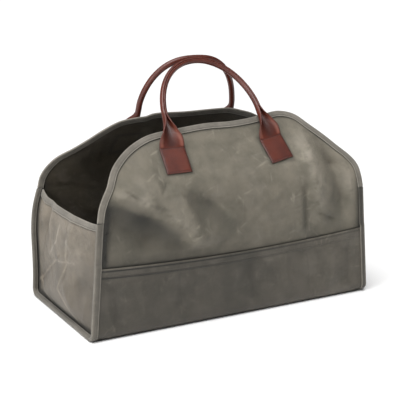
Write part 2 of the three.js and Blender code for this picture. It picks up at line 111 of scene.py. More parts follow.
def smooth_path(points, count):
    """Points spaced evenly along a smooth curve through the given ones."""
    points = np.array(points, float)
    steps = np.linalg.norm(np.diff(points, axis=0), axis=1) ** 0.5
    knots = np.concatenate([[0], np.cumsum(steps)])
    fine = np.linspace(0, knots[-1], 40 * len(points))
    dense = np.stack([read(np.stack([knots, c], 1), fine) for c in points.T], 1)
    run = np.concatenate([[0], np.cumsum(np.linalg.norm(np.diff(dense, axis=0), axis=1))])
    even = np.linspace(0, run[-1], count)
    return np.stack([np.interp(even, run, c) for c in dense.T], 1), run[-1]


print("half way up a slope from 0 to 1:", read([(0, 0), (1, 1)], np.array([0.5]))[0])


# %% [markdown]
# ## Folds
# Waxed cloth keeps its folds: broad ridges and hollows where the load pulled, and small
# sharp creases where it was crumpled. Each fold is a stroke from one place to another
# that lifts the cloth, with a width of its own on either side, so that a ridge can fall
# off sharply on one side and softly on the other. A cloth simulation would also fold the
# sheet, but not in the places where this bag shows its folds.

# %% Lift the cloth along strokes
def fold_depth(folds, x, z):
    """How far the folds move the cloth out. A fold is (x0, z0, x1, z1, width on its left,
    width on its right, depth), seen from its start. Its sides are nearly flat and meet in
    a small round crest, as stiff cloth folds."""
    total = np.zeros_like(x)
    for x0, z0, x1, z1, left, right, depth in folds:
        dx, dz = x1 - x0, z1 - z0
        length = np.hypot(dx, dz)
        t = np.clip(((x - x0) * dx + (z - z0) * dz) / length**2, 0, 1)
        away_x, away_z = x - x0 - t * dx, z - z0 - t * dz
        distance = np.hypot(away_x, away_z)
        side = np.sign(away_z * dx - away_x * dz)
        width = np.where(side > 0, left, right)
        crest = 0.35 * width
        total += depth * np.exp((crest - np.hypot(distance, crest)) / (0.72 * width))
    return total


def crumple(seed, x_range, z_range, count, depth):
    """Small creases at places drawn with a fixed seed."""
    draw = np.random.default_rng(seed)
    creases = []
    for _ in range(count):
        x, z = draw.uniform(*x_range), draw.uniform(*z_range)
        angle, length = draw.uniform(0, np.pi), draw.uniform(0.015, 0.07)
        sharp, soft = draw.uniform(0.0015, 0.004), draw.uniform(0.006, 0.02)
        end_x, end_z = x + length * np.cos(angle), z + length * np.sin(angle)
        amount = depth * draw.uniform(0.35, 1) * draw.choice([-1, 1])
        creases.append((x, z, end_x, end_z, sharp, soft, amount))
    return creases


ridge = fold_depth([(0, 0, 1, 0, 0.01, 0.01, 0.005)], np.array([0.5, 0.5]), np.array([0, 0.01]))
print("a 5 mm ridge on its line and 10 mm aside:", [f"{h * 1000:.1f} mm" for h in ridge])


# %% [markdown]
# ## The shape of the bag
# The end gussets stand a little closer together at their tops than at the floor, and the
# back's ends bow out. The base lifts a little at both ends, where the tape of the seams
# runs under it.

# %% Place the ends and the layers
def half_length(z, y):
    share = np.clip(z / gusset_height, 0, 1)
    towards_back = np.clip(0.5 + y / base_depth, 0, 1)
    bow = back_bow * towards_back**2 * np.sin(np.pi * share**2)
    return (floor_length + (mouth_length - floor_length) * share) / 2 + bow


def lift_at(x, z):
    start = floor_length / 2 - lift_run - 2 * tape
    share = np.clip((np.abs(x) - start) / lift_run, 0, 1)
    return edge_lift * share * np.maximum(0, 1 - z / band_height)


def girth(layer, top, count):
    """A line round the bag, down its front from the height top, under the floor and up
    its back: places y and z, the direction faced there, and the distance run. Layer 0 is
    the base's cloth, and each further layer lies inside it."""
    inset = canvas / 2 + layer * layer_pitch
    out, radius = base_depth / 2 - inset, corner_radius - inset
    wall, bend, floor = top - inset - radius, radius * np.pi / 2, 2 * (out - radius)
    total = 2 * wall + 2 * bend + floor
    run = np.linspace(0, total, count)
    from_end = np.minimum(run, total - run)
    turn = np.clip((from_end - wall) / radius, 0, np.pi / 2)
    flat = np.maximum(from_end - wall - bend, 0)
    y = radius - out - radius * np.cos(turn) + flat
    z = inset + radius - radius * np.sin(turn) + np.maximum(wall - from_end, 0)
    side = np.where(run > total / 2, -1.0, 1.0)
    return y * side, z, -np.cos(turn) * side, -np.sin(turn), run


print(f"the girth of the base is {girth(0, band_height, 9)[-1][-1]:.3f} m")


# %% [markdown]
# ## The two sides
# Each side stands upright behind the band of the base, and leans in above the gussets.
# The front and the back differ a little in height, outline and folds, as real ones do.
# They could be sculpted by hand, but in tables each fold can be named and moved.

# %% Outlines of the sides
lean = [(0, 1), (0.15, 0.975), (0.3, 0.905), (0.42, 0.8), (0.5, 0.69), (1, 0), (1.1, -0.138)]

front_outline = [
    (-1, 0), (-0.985, 0.16), (-0.955, 0.28), (-0.91, 0.4), (-0.84, 0.59), (-0.75, 0.73),
    (-0.67, 0.815), (-0.57, 0.888), (-0.49, 0.92), (-0.27, 0.955), (-0.09, 0.975), (0.09, 0.97),
    (0.27, 0.99), (0.38, 1.02), (0.49, 1.035), (0.6, 0.98), (0.69, 0.84), (0.77, 0.71),
    (0.85, 0.56), (0.92, 0.43), (0.965, 0.31), (0.985, 0.17), (1, 0),
]
back_outline = [
    (-1, 0), (-0.98, 0.17), (-0.94, 0.31), (-0.87, 0.46), (-0.77, 0.58), (-0.68, 0.71),
    (-0.59, 0.85), (-0.49, 0.965), (-0.36, 1.005), (-0.3, 1.01), (-0.25, 1.045), (0, 1.03),
    (0.26, 1.03), (0.36, 1.02), (0.49, 0.95), (0.59, 0.88), (0.7, 0.76), (0.8, 0.61),
    (0.88, 0.45), (0.94, 0.31), (0.98, 0.17), (1, 0),
]
print("outline points", len(front_outline), "and", len(back_outline))

# %% Folds of the sides
front_folds = [
    (-0.246, 0.262, -0.186, 0.238, 0.034, 0.014, 0.0095),
    (-0.186, 0.238, -0.126, 0.194, 0.036, 0.012, 0.0095),
    (-0.126, 0.194, -0.085, 0.158, 0.030, 0.012, 0.0070),
    (-0.142, 0.263, -0.110, 0.232, 0.010, 0.026, 0.0040),
    (-0.110, 0.232, -0.079, 0.163, 0.009, 0.030, 0.0060),
    (-0.263, 0.246, -0.267, 0.150, 0.014, 0.010, -0.0110),
    (-0.240, 0.214, -0.178, 0.171, 0.026, 0.030, -0.0100),
    (-0.178, 0.171, -0.120, 0.150, 0.020, 0.020, -0.0060),
    (-0.090, 0.236, -0.028, 0.214, 0.014, 0.024, -0.0070),
    (-0.034, 0.216, -0.012, 0.194, 0.008, 0.012, 0.0030),
    (0.172, 0.336, 0.164, 0.290, 0.022, 0.022, 0.0060),
    (0.164, 0.290, 0.166, 0.220, 0.022, 0.018, 0.0080),
    (0.172, 0.215, 0.186, 0.167, 0.020, 0.014, 0.0070),
    (0.205, 0.310, 0.217, 0.260, 0.018, 0.022, -0.0105),
    (0.217, 0.260, 0.233, 0.195, 0.016, 0.020, -0.0095),
    (0.246, 0.262, 0.252, 0.200, 0.010, 0.010, 0.0045),
    (0.134, 0.216, 0.141, 0.150, 0.006, 0.012, 0.0030),
    (0.147, 0.222, 0.152, 0.140, 0.011, 0.009, -0.0070),
    (0.180, 0.172, 0.210, 0.157, 0.008, 0.004, -0.0045),
    (0.020, 0.200, 0.060, 0.165, 0.020, 0.012, -0.0045),
    (-0.010, 0.262, 0.060, 0.205, 0.030, 0.026, 0.0045),
    (0.060, 0.180, 0.110, 0.160, 0.012, 0.020, 0.0035),
    (-0.060, 0.165, 0.000, 0.150, 0.012, 0.016, 0.0030),
]
back_folds = [
    (-0.213, 0.283, -0.133, 0.173, 0.026, 0.030, -0.0080),
    (-0.027, 0.242, 0.040, 0.155, 0.026, 0.024, -0.0050),
    (0.200, 0.276, 0.160, 0.166, 0.022, 0.026, 0.0060),
    (0.239, 0.242, 0.226, 0.166, 0.018, 0.020, -0.0065),
    (-0.070, 0.300, -0.090, 0.200, 0.020, 0.010, 0.0040),
    (0.080, 0.260, 0.120, 0.180, 0.012, 0.022, 0.0035),
]
print("folds", len(front_folds), "and", len(back_folds))

# %% Painted shade and wear of the sides
# Wear has the columns of the folds. It is above 0 for painted shade in what stays folded in, and
# below 0 for a painted highlight on a crest, which is in part rubbed pale.
front_shade_and_wear = [
    (-0.262, 0.240, -0.194, 0.218, 0.008, 0.050, 0.56),
    (-0.190, 0.212, -0.126, 0.170, 0.010, 0.040, 0.46),
    (-0.262, 0.244, -0.268, 0.150, 0.012, 0.010, 0.55),
    (-0.104, 0.232, -0.060, 0.226, 0.006, 0.022, 0.30),
    (-0.060, 0.226, -0.020, 0.196, 0.006, 0.030, 0.30),
    (0.200, 0.306, 0.228, 0.190, 0.014, 0.030, 0.42),
    (0.142, 0.224, 0.147, 0.142, 0.022, 0.006, 0.34),
    (0.180, 0.172, 0.210, 0.157, 0.006, 0.004, 0.30),
    (-0.246, 0.262, -0.190, 0.240, 0.008, 0.006, -0.35),
    (-0.186, 0.238, -0.128, 0.196, 0.026, 0.008, -0.30),
    (-0.126, 0.194, -0.086, 0.160, 0.024, 0.008, -0.35),
    (-0.110, 0.232, -0.080, 0.166, 0.006, 0.024, -0.25),
    (-0.034, 0.216, -0.012, 0.194, 0.005, 0.006, -0.50),
    (0.172, 0.336, 0.164, 0.290, 0.022, 0.022, -0.30),
    (0.164, 0.290, 0.172, 0.190, 0.024, 0.016, -0.40),
    (0.246, 0.262, 0.252, 0.200, 0.008, 0.008, -0.25),
    (0.170, 0.240, 0.240, 0.230, 0.060, 0.060, -0.20),
]
back_shade_and_wear = [
    (-0.213, 0.283, -0.133, 0.173, 0.026, 0.030, 0.35),
    (0.200, 0.276, 0.160, 0.166, 0.022, 0.026, -0.30),
    (0.239, 0.242, 0.226, 0.166, 0.018, 0.020, 0.30),
    (-0.027, 0.242, 0.040, 0.155, 0.026, 0.024, 0.25),
    (0.080, 0.260, 0.120, 0.180, 0.008, 0.016, -0.30),
]
print("wear", len(front_shade_and_wear), "and", len(back_shade_and_wear))

# %% The front and the back
# A handle's legs are (side, share of the spread, tilt in degrees). Its arch leans by
# handle_lean, is more or less full in each half, and drifts aside above each tab.
# A side's wear paints shade in the hollows of its folds and a highlight on their crests.
front = {
    "side": -1, "height": 0.353, "top_reach": 0.065, "outline": front_outline,
    "folds": front_folds + crumple(3, (-0.26, 0.26), (0.14, 0.34), 46, 0.0011),
    "wear": front_shade_and_wear,
    "legs": [(-1, 1.08, 0), (1, 0.955, 11)], "rise": 0.1325, "handle_lean": 0.95,
    "flare": 1.0, "fullness": (0.93, 1.06), "drift": (-0.006, -0.012),
}
back = {
    "side": 1, "height": 0.345, "top_reach": 0.066, "outline": back_outline,
    "folds": back_folds + crumple(5, (-0.26, 0.26), (0.14, 0.33), 46, 0.0012),
    "wear": back_shade_and_wear,
    "legs": [(-1, 1.03, 5), (1, 1.03, 5)], "rise": 0.1135, "handle_lean": 0.37,
    "flare": 0.8, "fullness": (0.85, 0.72), "drift": (0.004, 0.008),
}
tab_width = 0.050
tab_length = 0.050
tab_drop = 0.095
handle_spread = 0.202
print("creases in all", len(front["folds"]), "and", len(back["folds"]))


# %% Where a side's cloth lies
def lean_rate(panel):
    run = 0.69 * (panel_reach - panel["top_reach"])
    return run / (0.5 * (panel["height"] - gusset_height))


def reach_at(panel, z):
    rise = (z - gusset_height) / (panel["height"] - gusset_height)
    share = np.where(rise < 0, 1.0, read(lean, np.maximum(rise, 0)))
    return panel["top_reach"] + (panel_reach - panel["top_reach"]) * share


def freedom(panel, x, z):
    """From 0 to 1, how free the cloth is to fold: not in its seams, nor under a tab."""
    tab_foot = panel["height"] - tab_drop / np.hypot(1, lean_rate(panel))
    ends = half_length(z, panel["side"] * base_depth / 2)
    from_band = smoothstep(z, band_clear, band_clear + 0.02)
    from_flange = smoothstep(ends - np.abs(x), 0, 0.02)
    over_gusset = smoothstep(z, gusset_height, gusset_height + 0.025)
    from_tab = np.abs(np.abs(x) - handle_spread / 2) - 0.75 * tab_width
    clear = np.maximum(smoothstep(from_tab, 0, 0.02), smoothstep(tab_foot - z, 0.012, 0.032))
    return from_band * np.maximum(from_flange, over_gusset) * clear


def from_outline(panel, x, z):
    """How far a place lies from the panel's outline."""
    line = panel["line"]
    away = np.hypot(np.subtract.outer(x, line[:, 0]), np.subtract.outer(z, line[:, 1]))
    return away.min(axis=-1)


def panel_place(panel, x, z):
    stiff_edge = smoothstep(from_outline(panel, x, z), 0.008, 0.035)
    loose = freedom(panel, x, z) * np.maximum(stiff_edge, z < gusset_height - 0.02)
    y = reach_at(panel, z) + fold_depth(panel["folds"], x, z) * loose
    return np.stack([x, panel["side"] * y, z], -1)


def panel_facing(panel, x, z):
    step = 0.0005
    along = panel_place(panel, x + step, z) - panel_place(panel, x - step, z)
    up = panel_place(panel, x, z + step) - panel_place(panel, x, z - step)
    facing = np.cross(along, up) * -panel["side"]
    return facing / np.linalg.norm(facing, axis=-1, keepdims=True)


outline_count = 261


def panel_edge(panel):
    """The outline from the lower left end to the lower right one: places x and z, the
    way inwards from there, and the distance run."""
    top_half = mouth_length / 2 + sheet_reach
    crown = panel["height"] - gusset_height
    over = [(share * top_half, gusset_height + rise * crown) for share, rise in panel["outline"]]
    upright = []
    for z in np.linspace(band_lower, gusset_height, 6)[:-1]:
        upright.append((half_length(z, panel["side"] * base_depth / 2) + sheet_reach, z))
    points = [(-x, z) for x, z in upright] + over + upright[::-1]
    line, length = smooth_path(points, outline_count)
    z = line[:, 1]
    fall = reach_at(panel, z - 0.001) - reach_at(panel, z + 0.001)
    cosine = 1 / np.hypot(1, fall / 0.002)
    run_x, run_z = np.gradient(line[:, 0]), np.gradient(z) / cosine
    size = np.hypot(run_x, run_z)
    inward = np.stack([run_z / size, -run_x / size * cosine], 1)
    return line, inward, np.linspace(0, length, outline_count)


for panel in (front, back):
    panel["line"] = panel_edge(panel)[0]
edge, inward, run = panel_edge(front)
print(f"the front's outline runs {run[-1]:.3f} m")

# %% [markdown]
# ## From a grid to a sheet
# A sheet of cloth starts as a plain grid made by one operator. Every vertex knows how far
# along and how far up the grid it is, and a function of those two gives its place on the
# bag. The flat pattern is kept as a UV map in metres, so that a weave or a stitch follows
# the cloth. Solidify then gives the sheet its thickness on both sides.

# %% Make a piece of a mesh
pieces = {}


def finish_piece(name, mesh, material, nodes):
    mesh.materials.append(material)
    mesh.shade_smooth()
    piece = bpy.data.objects.new(name, mesh)
    bpy.context.scene.collection.objects.link(piece)
    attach(piece, "root")
    if nodes:
        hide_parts(*nodes)
    pieces[name] = piece
    print(name, len(mesh.vertices), "vertices")
    return piece


# %% Place a grid
def grid_mesh(name, columns, rows, place, closed=False):
    """A grid of columns by rows. place(u, v) gives the points, the flat pattern and the painted
    shade and grime: above 0 where the surface is darker, from grime and painted shade, and below 0
    where it is paler, from rubbing and painted highlights."""
    bm = bmesh.new()
    bmesh.ops.create_grid(bm, x_segments=columns, y_segments=rows, size=0.5)
    mesh = bpy.data.meshes.new(name)
    bm.to_mesh(mesh)
    bm.free()
    flat = np.empty(len(mesh.vertices) * 3)
    mesh.vertices.foreach_get("co", flat)
    u, v = (flat.reshape(-1, 3)[:, :2] + 0.5).T
    points, pattern, shade_and_dirt = place(u, v)
    mesh.vertices.foreach_set("co", points.ravel())
    shade_and_grime = mesh.attributes.new("shade_and_grime", "FLOAT", "POINT")
    shade_and_grime.data.foreach_set("value", shade_and_dirt)
    corners = np.empty(len(mesh.loops), int)
    mesh.loops.foreach_get("vertex_index", corners)
    cut = mesh.uv_layers.new(name="cut")
    cut.uv.foreach_set("vector", pattern[corners].ravel())
    mesh.update()
    if closed:
        bm = bmesh.new()
        bm.from_mesh(mesh)
        bmesh.ops.remove_doubles(bm, verts=bm.verts, dist=1e-6)
        rim = [e for e in bm.edges if e.is_boundary]
        bmesh.ops.holes_fill(bm, edges=rim, sides=0)
        bmesh.ops.recalc_face_normals(bm, faces=bm.faces)
        bm.to_mesh(mesh)
        bm.free()
    return mesh


# %% Make a sheet of cloth
def facing_share(mesh, towards):
    """The share of a sheet's faces that face the given way."""
    normals = np.empty(len(mesh.polygons) * 3)
    mesh.polygons.foreach_get("normal", normals)
    return float((normals.reshape(-1, 3) @ np.array(towards) > 0).mean())


def cut_area(mesh):
    """The area of the flat pattern, from the UV map."""
    uv = np.empty(len(mesh.loops) * 2)
    mesh.uv_layers["cut"].uv.foreach_get("vector", uv)
    uv = uv.reshape(-1, 4, 2)
    one, other = uv[:, 2] - uv[:, 0], uv[:, 3] - uv[:, 1]
    return float(np.abs(one[:, 0] * other[:, 1] - one[:, 1] * other[:, 0]).sum() / 2)


def cloth_piece(name, mesh, thickness, material, nodes, towards=None, inside=None):
    if towards is not None and facing_share(mesh, towards) < 0.5:
        mesh.flip_normals()
    uv = np.empty(len(mesh.loops) * 2)
    mesh.uv_layers["cut"].uv.foreach_get("vector", uv)
    width, length = np.ptp(uv.reshape(-1, 2), axis=0)
    area = min(cut_area(mesh), width * length)
    piece = finish_piece(name, mesh, material, nodes)
    solid = piece.modifiers.new("thickness", "SOLIDIFY")
    solid.thickness = thickness
    solid.offset = 0
    if inside is not None:
        mesh.materials.append(inside)
        solid.material_offset = 1
    print(f"  flat {width:.3f} by {length:.3f} m, {area:.4f} square metres")
    return piece


# %% [markdown]
# ## Writing a finish as an expression
# A procedural finish is a formula over the surface: patches of noise, threads at a
# regular pitch, a line where a crease is. One small class wraps a node's output, so that
# a formula such as 1 - mask * 0.5 adds its Math nodes by itself, and one method adds any
# other node.

# %% Arithmetic on a node's output
class Tone:
    """An output of a node. Arithmetic on it adds Math nodes."""

    def __init__(self, finish, socket):
        self.finish = finish
        self.socket = socket

    def math(self, operation, *values):
        settings = {"operation": operation}
        return self.finish.node("ShaderNodeMath", settings, dict(enumerate(values)))

    def __add__(self, other):
        return self.math("ADD", self, other)

    def __radd__(self, other):
        return self.math("ADD", other, self)

    def __sub__(self, other):
        return self.math("SUBTRACT", self, other)

    def __rsub__(self, other):
        return self.math("SUBTRACT", other, self)

    def __mul__(self, other):
        return self.math("MULTIPLY", self, other)

    def __rmul__(self, other):
        return self.math("MULTIPLY", other, self)

    def sine(self):
        return self.math("SINE", self)

    def at_least(self, low):
        return self.math("MAXIMUM", self, low)

    def at_most(self, high):
        return self.math("MINIMUM", self, high)

    def step(self, low, high):
        """0 below low, 1 above high, and smooth between."""
        settings = {"interpolation_type": "SMOOTHSTEP"}
        sockets = {"Value": self, "From Min": low, "From Max": high}
        return self.finish.node("ShaderNodeMapRange", settings, sockets)


# %% A finish and its nodes
class Finish:
    """A material, its nodes and its one shader."""

    def __init__(self, name):
        self.material = bpy.data.materials.new(name)
        self.material.use_nodes = True
        self.tree = self.material.node_tree
        self.shader = self.tree.nodes["Principled BSDF"]

    def node(self, kind, settings=None, sockets=None, output=0):
        """Adds a node. Settings come first, then its sockets' values or links."""
        node = self.tree.nodes.new(kind)
        for key, value in (settings or {}).items():
            setattr(node, key, value)
        for key, value in (sockets or {}).items():
            self.put(node.inputs[key], value)
        return Tone(self, node.outputs[output])

    def put(self, socket, value):
        if isinstance(value, Tone):
            self.tree.links.new(value.socket, socket)
        else:
            socket.default_value = value

    def noise(self, place, scale, detail=3, roughness=0.5, distortion=0.0):
        sockets = {
            "Vector": place, "Scale": scale, "Detail": detail,
            "Roughness": roughness, "Distortion": distortion,
        }
        return self.node("ShaderNodeTexNoise", None, sockets)

    def mix(self, factor, one, other):
        """Mixes two colours."""
        return self.node(
            "ShaderNodeMix", {"data_type": "RGBA"}, {0: factor, 6: one, 7: other}, 2
        )

    def cut(self):
        """The flat pattern in metres, as a vector, its x and its y."""
        place = self.node("ShaderNodeUVMap", {"uv_map": "cut"})
        x = self.node("ShaderNodeSeparateXYZ", None, {0: place}, 0)
        y = self.node("ShaderNodeSeparateXYZ", None, {0: place}, 1)
        return place, x, y

    def shade_and_grime(self):
        """What each vertex says of its wear and its painted light: dark above 0, from grime and
        painted shade, and pale below 0, from rubbing and painted highlights.
        """
        return self.node("ShaderNodeAttribute", {"attribute_name": "shade_and_grime"}, None, 2)

    def moved(self, place, offset):
        sockets = {"Vector": place, "Location": offset}
        return self.node("ShaderNodeMapping", None, sockets)

    def surface(self, colour, roughness, bump_height, bump_distance, **constants):
        self.put(self.shader.inputs["Base Color"], colour)
        self.put(self.shader.inputs["Roughness"], roughness)
        sockets = {"Height": bump_height, "Distance": bump_distance, "Strength": 1.0}
        self.put(self.shader.inputs["Normal"], self.node("ShaderNodeBump", None, sockets))
        for key, value in constants.items():
            self.shader.inputs[key.replace("_", " ")].default_value = value
        return self.material


# %% Colours
def colour(red, green, blue):
    """A colour given as it looks on a screen, from 0 to 255, in linear light."""
    share = np.array([red, green, blue]) / 255
    linear = np.where(share <= 0.04045, share / 12.92, ((share + 0.055) / 1.055) ** 2.4)
    return (*linear.tolist(), 1.0)


print("a mid grey is", [round(v, 3) for v in colour(128, 128, 128)])


# %% [markdown]
# ## Waxed canvas
# The cloth is a plain weave, soaked with wax. The wax lies unevenly, so the tone drifts in soft
# pools, and where it was creased it has cracked into short pale dashes. The dashes are noise that
# is stretched three ways, with a few borders of large cells among them, and a mask lets them show
# in patches. An image of real cloth would be quicker, but it would repeat, and it wouldn't follow
# this bag's folds. Each vertex carries painted shade and painted highlights, along with where the
# cloth is soaked or rubbed, and the tone goes dark or pale with them.

# %% Make the cloth's finish
thread_pitch = 0.00085
dash_mask = (0.6, 0.8)


def waxed_canvas(name, dark, pale, shift, cracked):
    """Cloth between two tones. shift picks its own stretch of the noise, and cracked is
    how far its dashes turn pale."""
    finish = Finish(name)
    place, x, y = finish.cut()
    place = finish.moved(place, shift)

    def dashes(angle, length, width, low, high):
        """Short soft lines, all roughly one way: noise that is stretched along them."""
        turned = finish.node(
            "ShaderNodeMapping", {"vector_type": "TEXTURE"},
            {"Vector": place, "Rotation": (0, 0, angle), "Scale": (length, width, 1)},
        )
        return finish.noise(turned, 1.0, detail=1, distortion=0.15).step(low, high)

    broad = finish.noise(place, 8, detail=2)
    patches = finish.noise(place, 30, detail=4, roughness=0.6)
    mottle = broad * 0.45 + patches * 0.55
    pools = finish.noise(finish.moved(place, (3.1, 0.4, 0)), 17, detail=3).step(0.5, 0.68)
    borders = finish.node(
        "ShaderNodeTexVoronoi", {"feature": "DISTANCE_TO_EDGE"},
        {"Vector": place, "Scale": 15, "Randomness": 1.0},
    )
    creases = 1 - borders.step(0, 0.05)
    creases = creases * finish.noise(place, 30, detail=2).step(0.5, 0.7)
    marks = dashes(0.35, 0.030, 0.009, *dash_mask) + dashes(-0.9, 0.026, 0.008, *dash_mask)
    marks = marks + dashes(1.5, 0.034, 0.009, 0.59, 0.8) + creases * 0.3
    marks = marks * finish.noise(finish.moved(place, (5.3, 1.9, 0)), 13, detail=2).step(0.44, 0.66)
    wax = marks.at_most(1.0)
    scuffs = finish.noise(place, 110, detail=5, roughness=0.7).step(0.52, 0.75)
    turn = 2 * np.pi / thread_pitch
    weave = (x * turn).sine() * (y * turn).sine()
    shade_and_grime = finish.shade_and_grime()
    cloth = finish.mix(mottle.step(0.3, 0.7), dark, pale)
    worn = finish.mix(scuffs * 0.16, cloth, colour(148, 140, 127))
    pooled = finish.mix(pools * 0.14, worn, colour(150, 143, 132))
    waxed = finish.mix(wax * cracked, pooled, colour(176, 168, 152))
    # Pale where the vertex asks for a painted highlight, which is in part rubbed wax.
    highlight_and_wear = (shade_and_grime * -0.62).at_least(0.0) * patches.step(0.34, 0.58)
    rubbed = finish.mix(highlight_and_wear, waxed, colour(178, 170, 156))
    # Dark where the vertex carries painted shade and grime.
    darkening = (shade_and_grime * 0.85).at_most(0.92).at_least(0.0)
    tone = finish.mix(darkening, rubbed, colour(26, 25, 20))
    height = weave * 0.1 + patches * 0.9 + wax * 0.3 + scuffs * 0.25
    roughness = 0.58 + scuffs * 0.12 - mottle * 0.12 + wax * 0.1
    return finish.surface(
        tone, roughness, height, 0.0012, Specular_IOR_Level=0.42, Sheen_Weight=0.06,
        Sheen_Roughness=0.5,
    )


# %% Four tones of the cloth
# One cloth in four tones. The ends' lighter tone is partly painted light. The darker tones of the
# base and of the inside are partly painted shade.
side_canvas = waxed_canvas(
    "waxed_canvas_sides", colour(94, 90, 78), colour(122, 115, 101), (0.13, 0.4, 0), 0.3
)
inner_canvas_shaded = waxed_canvas(
    "waxed_canvas_inside_shaded", colour(58, 51, 39), colour(76, 68, 53), (0.7, 1.4, 0), 0.12
)
base_canvas_shaded = waxed_canvas(
    "waxed_canvas_base_shaded", colour(72, 68, 59), colour(90, 84, 74), (2.3, 0.2, 0), 0.16
)
end_canvas_lit = waxed_canvas(
    "waxed_canvas_ends_lit", colour(97, 90, 79), colour(128, 118, 104), (1.7, 0.9, 0), 0.25
)
print(len(end_canvas_lit.node_tree.nodes), "nodes in a cloth's finish")

# %% [markdown]
# ## Binding tape
# The tape is a narrow cotton twill, so fine diagonal ridges run across it. It is duller
# than the cloth and hardly waxed. A wave texture could draw the ridges, but a sine of the
# distance along the tape and across it together keeps them at one pitch round its fold.

# %% Make the tape's finish
twill_pitch = 0.0014


def twill_tape():
    finish = Finish("cotton_twill_tape")
    place, along, across = finish.cut()
    ridges = ((along + across) * (2 * np.pi / twill_pitch)).sine() * 0.5 + 0.5
    wear = finish.noise(place, 30, detail=4, roughness=0.6)
    specks = finish.noise(place, 220, detail=2).step(0.45, 0.7)
    plain = finish.mix(wear.step(0.35, 0.7), colour(106, 101, 92), colour(127, 121, 111))
    threads = finish.mix(ridges * 0.35, plain, colour(90, 86, 78))
    cotton = finish.mix(specks * 0.15, threads, colour(158, 152, 141))
    shade_and_grime = finish.shade_and_grime()
    # Pale where a painted highlight lies on the tape's edge and fold.
    rubbed = finish.mix((shade_and_grime * -0.8).at_least(0.0), cotton, colour(176, 170, 158))
    # Dark in the stitch lines, and where the seam tape gets painted shade in its groove and at its
    # right end.
    tone = finish.mix(shade_and_grime.at_least(0.0), rubbed, colour(52, 49, 42))
    height = ridges * 0.6 + wear * 0.5
    return finish.surface(tone, 0.8 + specks * 0.12, height, 0.0004, Sheen_Weight=0.15)


tape_cloth = twill_tape()
print(f"twill ridges every {twill_pitch * 1000:.1f} mm")

# %% [markdown]
# ## Leather and thread
# The handles are smooth reddish brown leather with a thin coat of polish, glossier where hands rub
# it. Its grain is a net of tiny cells. The dye is darker at the strip's edges and in the stitched
# grooves. The hollow of a flare is darkened with painted shade, and the flare's rims are paler
# with a painted highlight. The thread is twisted cotton, so fine noise is enough for it.

# %% Make the leather's and the thread's finish
def saddle_leather():
    finish = Finish("saddle_leather")
    place = finish.cut()[0]
    grain = finish.node(
        "ShaderNodeTexVoronoi", {"feature": "DISTANCE_TO_EDGE"},
        {"Vector": place, "Scale": 900},
    ).step(0, 0.25)
    clouds = finish.noise(place, 40, detail=4, roughness=0.6)
    rubbed = finish.noise(place, 14, detail=2).step(0.4, 0.7)
    hide = finish.mix(clouds.step(0.3, 0.7), colour(74, 26, 14), colour(91, 36, 21))
    polished = finish.mix(rubbed * 0.3, hide, colour(106, 48, 30))
    dye_and_shade = finish.shade_and_grime()
    # Pale where a flare's rims get a painted highlight.
    rim = finish.mix((dye_and_shade * -0.6).at_least(0.0), polished, colour(160, 100, 84))
    # Dark where the dye is, and where a flare's hollow gets painted shade.
    dyed_and_shaded = (dye_and_shade * 0.75).at_most(0.8).at_least(0.0)
    tone = finish.mix(dyed_and_shaded, rim, colour(46, 20, 16))
    height = grain * 0.5 + clouds * 0.8
    roughness = 0.38 - rubbed * 0.08 + clouds * 0.08
    return finish.surface(
        tone, roughness, height, 0.00018, Specular_IOR_Level=0.55, Coat_Weight=0.15,
        Coat_Roughness=0.3,
    )


def twisted_thread(name, tone):
    finish = Finish(name)
    place = finish.node("ShaderNodeTexCoord", None, None, 3)
    twist = finish.noise(place, 1800, detail=2)
    mixed = finish.mix(twist, tone, [v * 0.6 for v in tone[:3]] + [1])
    return finish.surface(mixed, 0.7 + twist * 0.1, twist, 0.0001, Sheen_Weight=0.2)


leather_hide = saddle_leather()
grey_thread = twisted_thread("grey_thread", colour(104, 99, 90))
brown_thread = twisted_thread("brown_thread", colour(84, 40, 34))
print(len(bpy.data.materials), "finishes")

# %% [markdown]
# ## The base
# One piece of cloth makes the floor and the lower band of both sides. Its upper edges
# are folded under and sewn down with two rows of stitches, so each band ends in a ridge
# a finger wide. It is modelled as one grid that runs down the front, under the floor and
# up the back.

# %% The hem and the band's folds
hem_rise = 0.0011
hem_rows = (0.003, 0.0138)
row_width = 0.0008


def hem_relief(below_edge):
    """How far the folded hem stands out, given the distance below its edge."""
    fold = smoothstep(below_edge, -0.0005, 0.0022) * (1 - smoothstep(below_edge, 0.0155, 0.0185))
    rows = sum(near(below_edge - row, row_width) for row in hem_rows)
    return hem_rise * fold - 0.0006 * rows


band_folds = [
    (-0.200, 0.100, -0.192, 0.030, 0.012, 0.016, 0.0022),
    (-0.120, 0.098, -0.118, 0.040, 0.014, 0.008, -0.0020),
    (-0.050, 0.090, -0.052, 0.030, 0.018, 0.012, 0.0018),
    (0.030, 0.096, 0.036, 0.030, 0.010, 0.016, -0.0022),
    (0.100, 0.100, 0.108, 0.040, 0.010, 0.014, 0.0024),
    (0.150, 0.105, 0.160, 0.045, 0.012, 0.012, -0.0024),
    (0.205, 0.105, 0.212, 0.040, 0.010, 0.016, 0.0026),
    (0.248, 0.105, 0.250, 0.030, 0.010, 0.008, -0.0022),
    (-0.250, 0.090, -0.240, 0.030, 0.010, 0.014, -0.0020),
]
crumpled = {
    side: crumple(seed, (-0.27, 0.27), (0.02, 0.11), 34, 0.0008)
    for side, seed in ((-1, 11), (1, 12))
}
band_creases = {
    -1: band_folds + crumpled[-1],
    1: [(-x0, z0, -x1, z1, *rest) for x0, z0, x1, z1, *rest in band_folds] + crumpled[1],
}
print("the hem is sewn", [round(row * 1000, 1) for row in hem_rows], "mm below its edge")

# %% Make the base
hem_run = 0.022
hem_share = 0.28


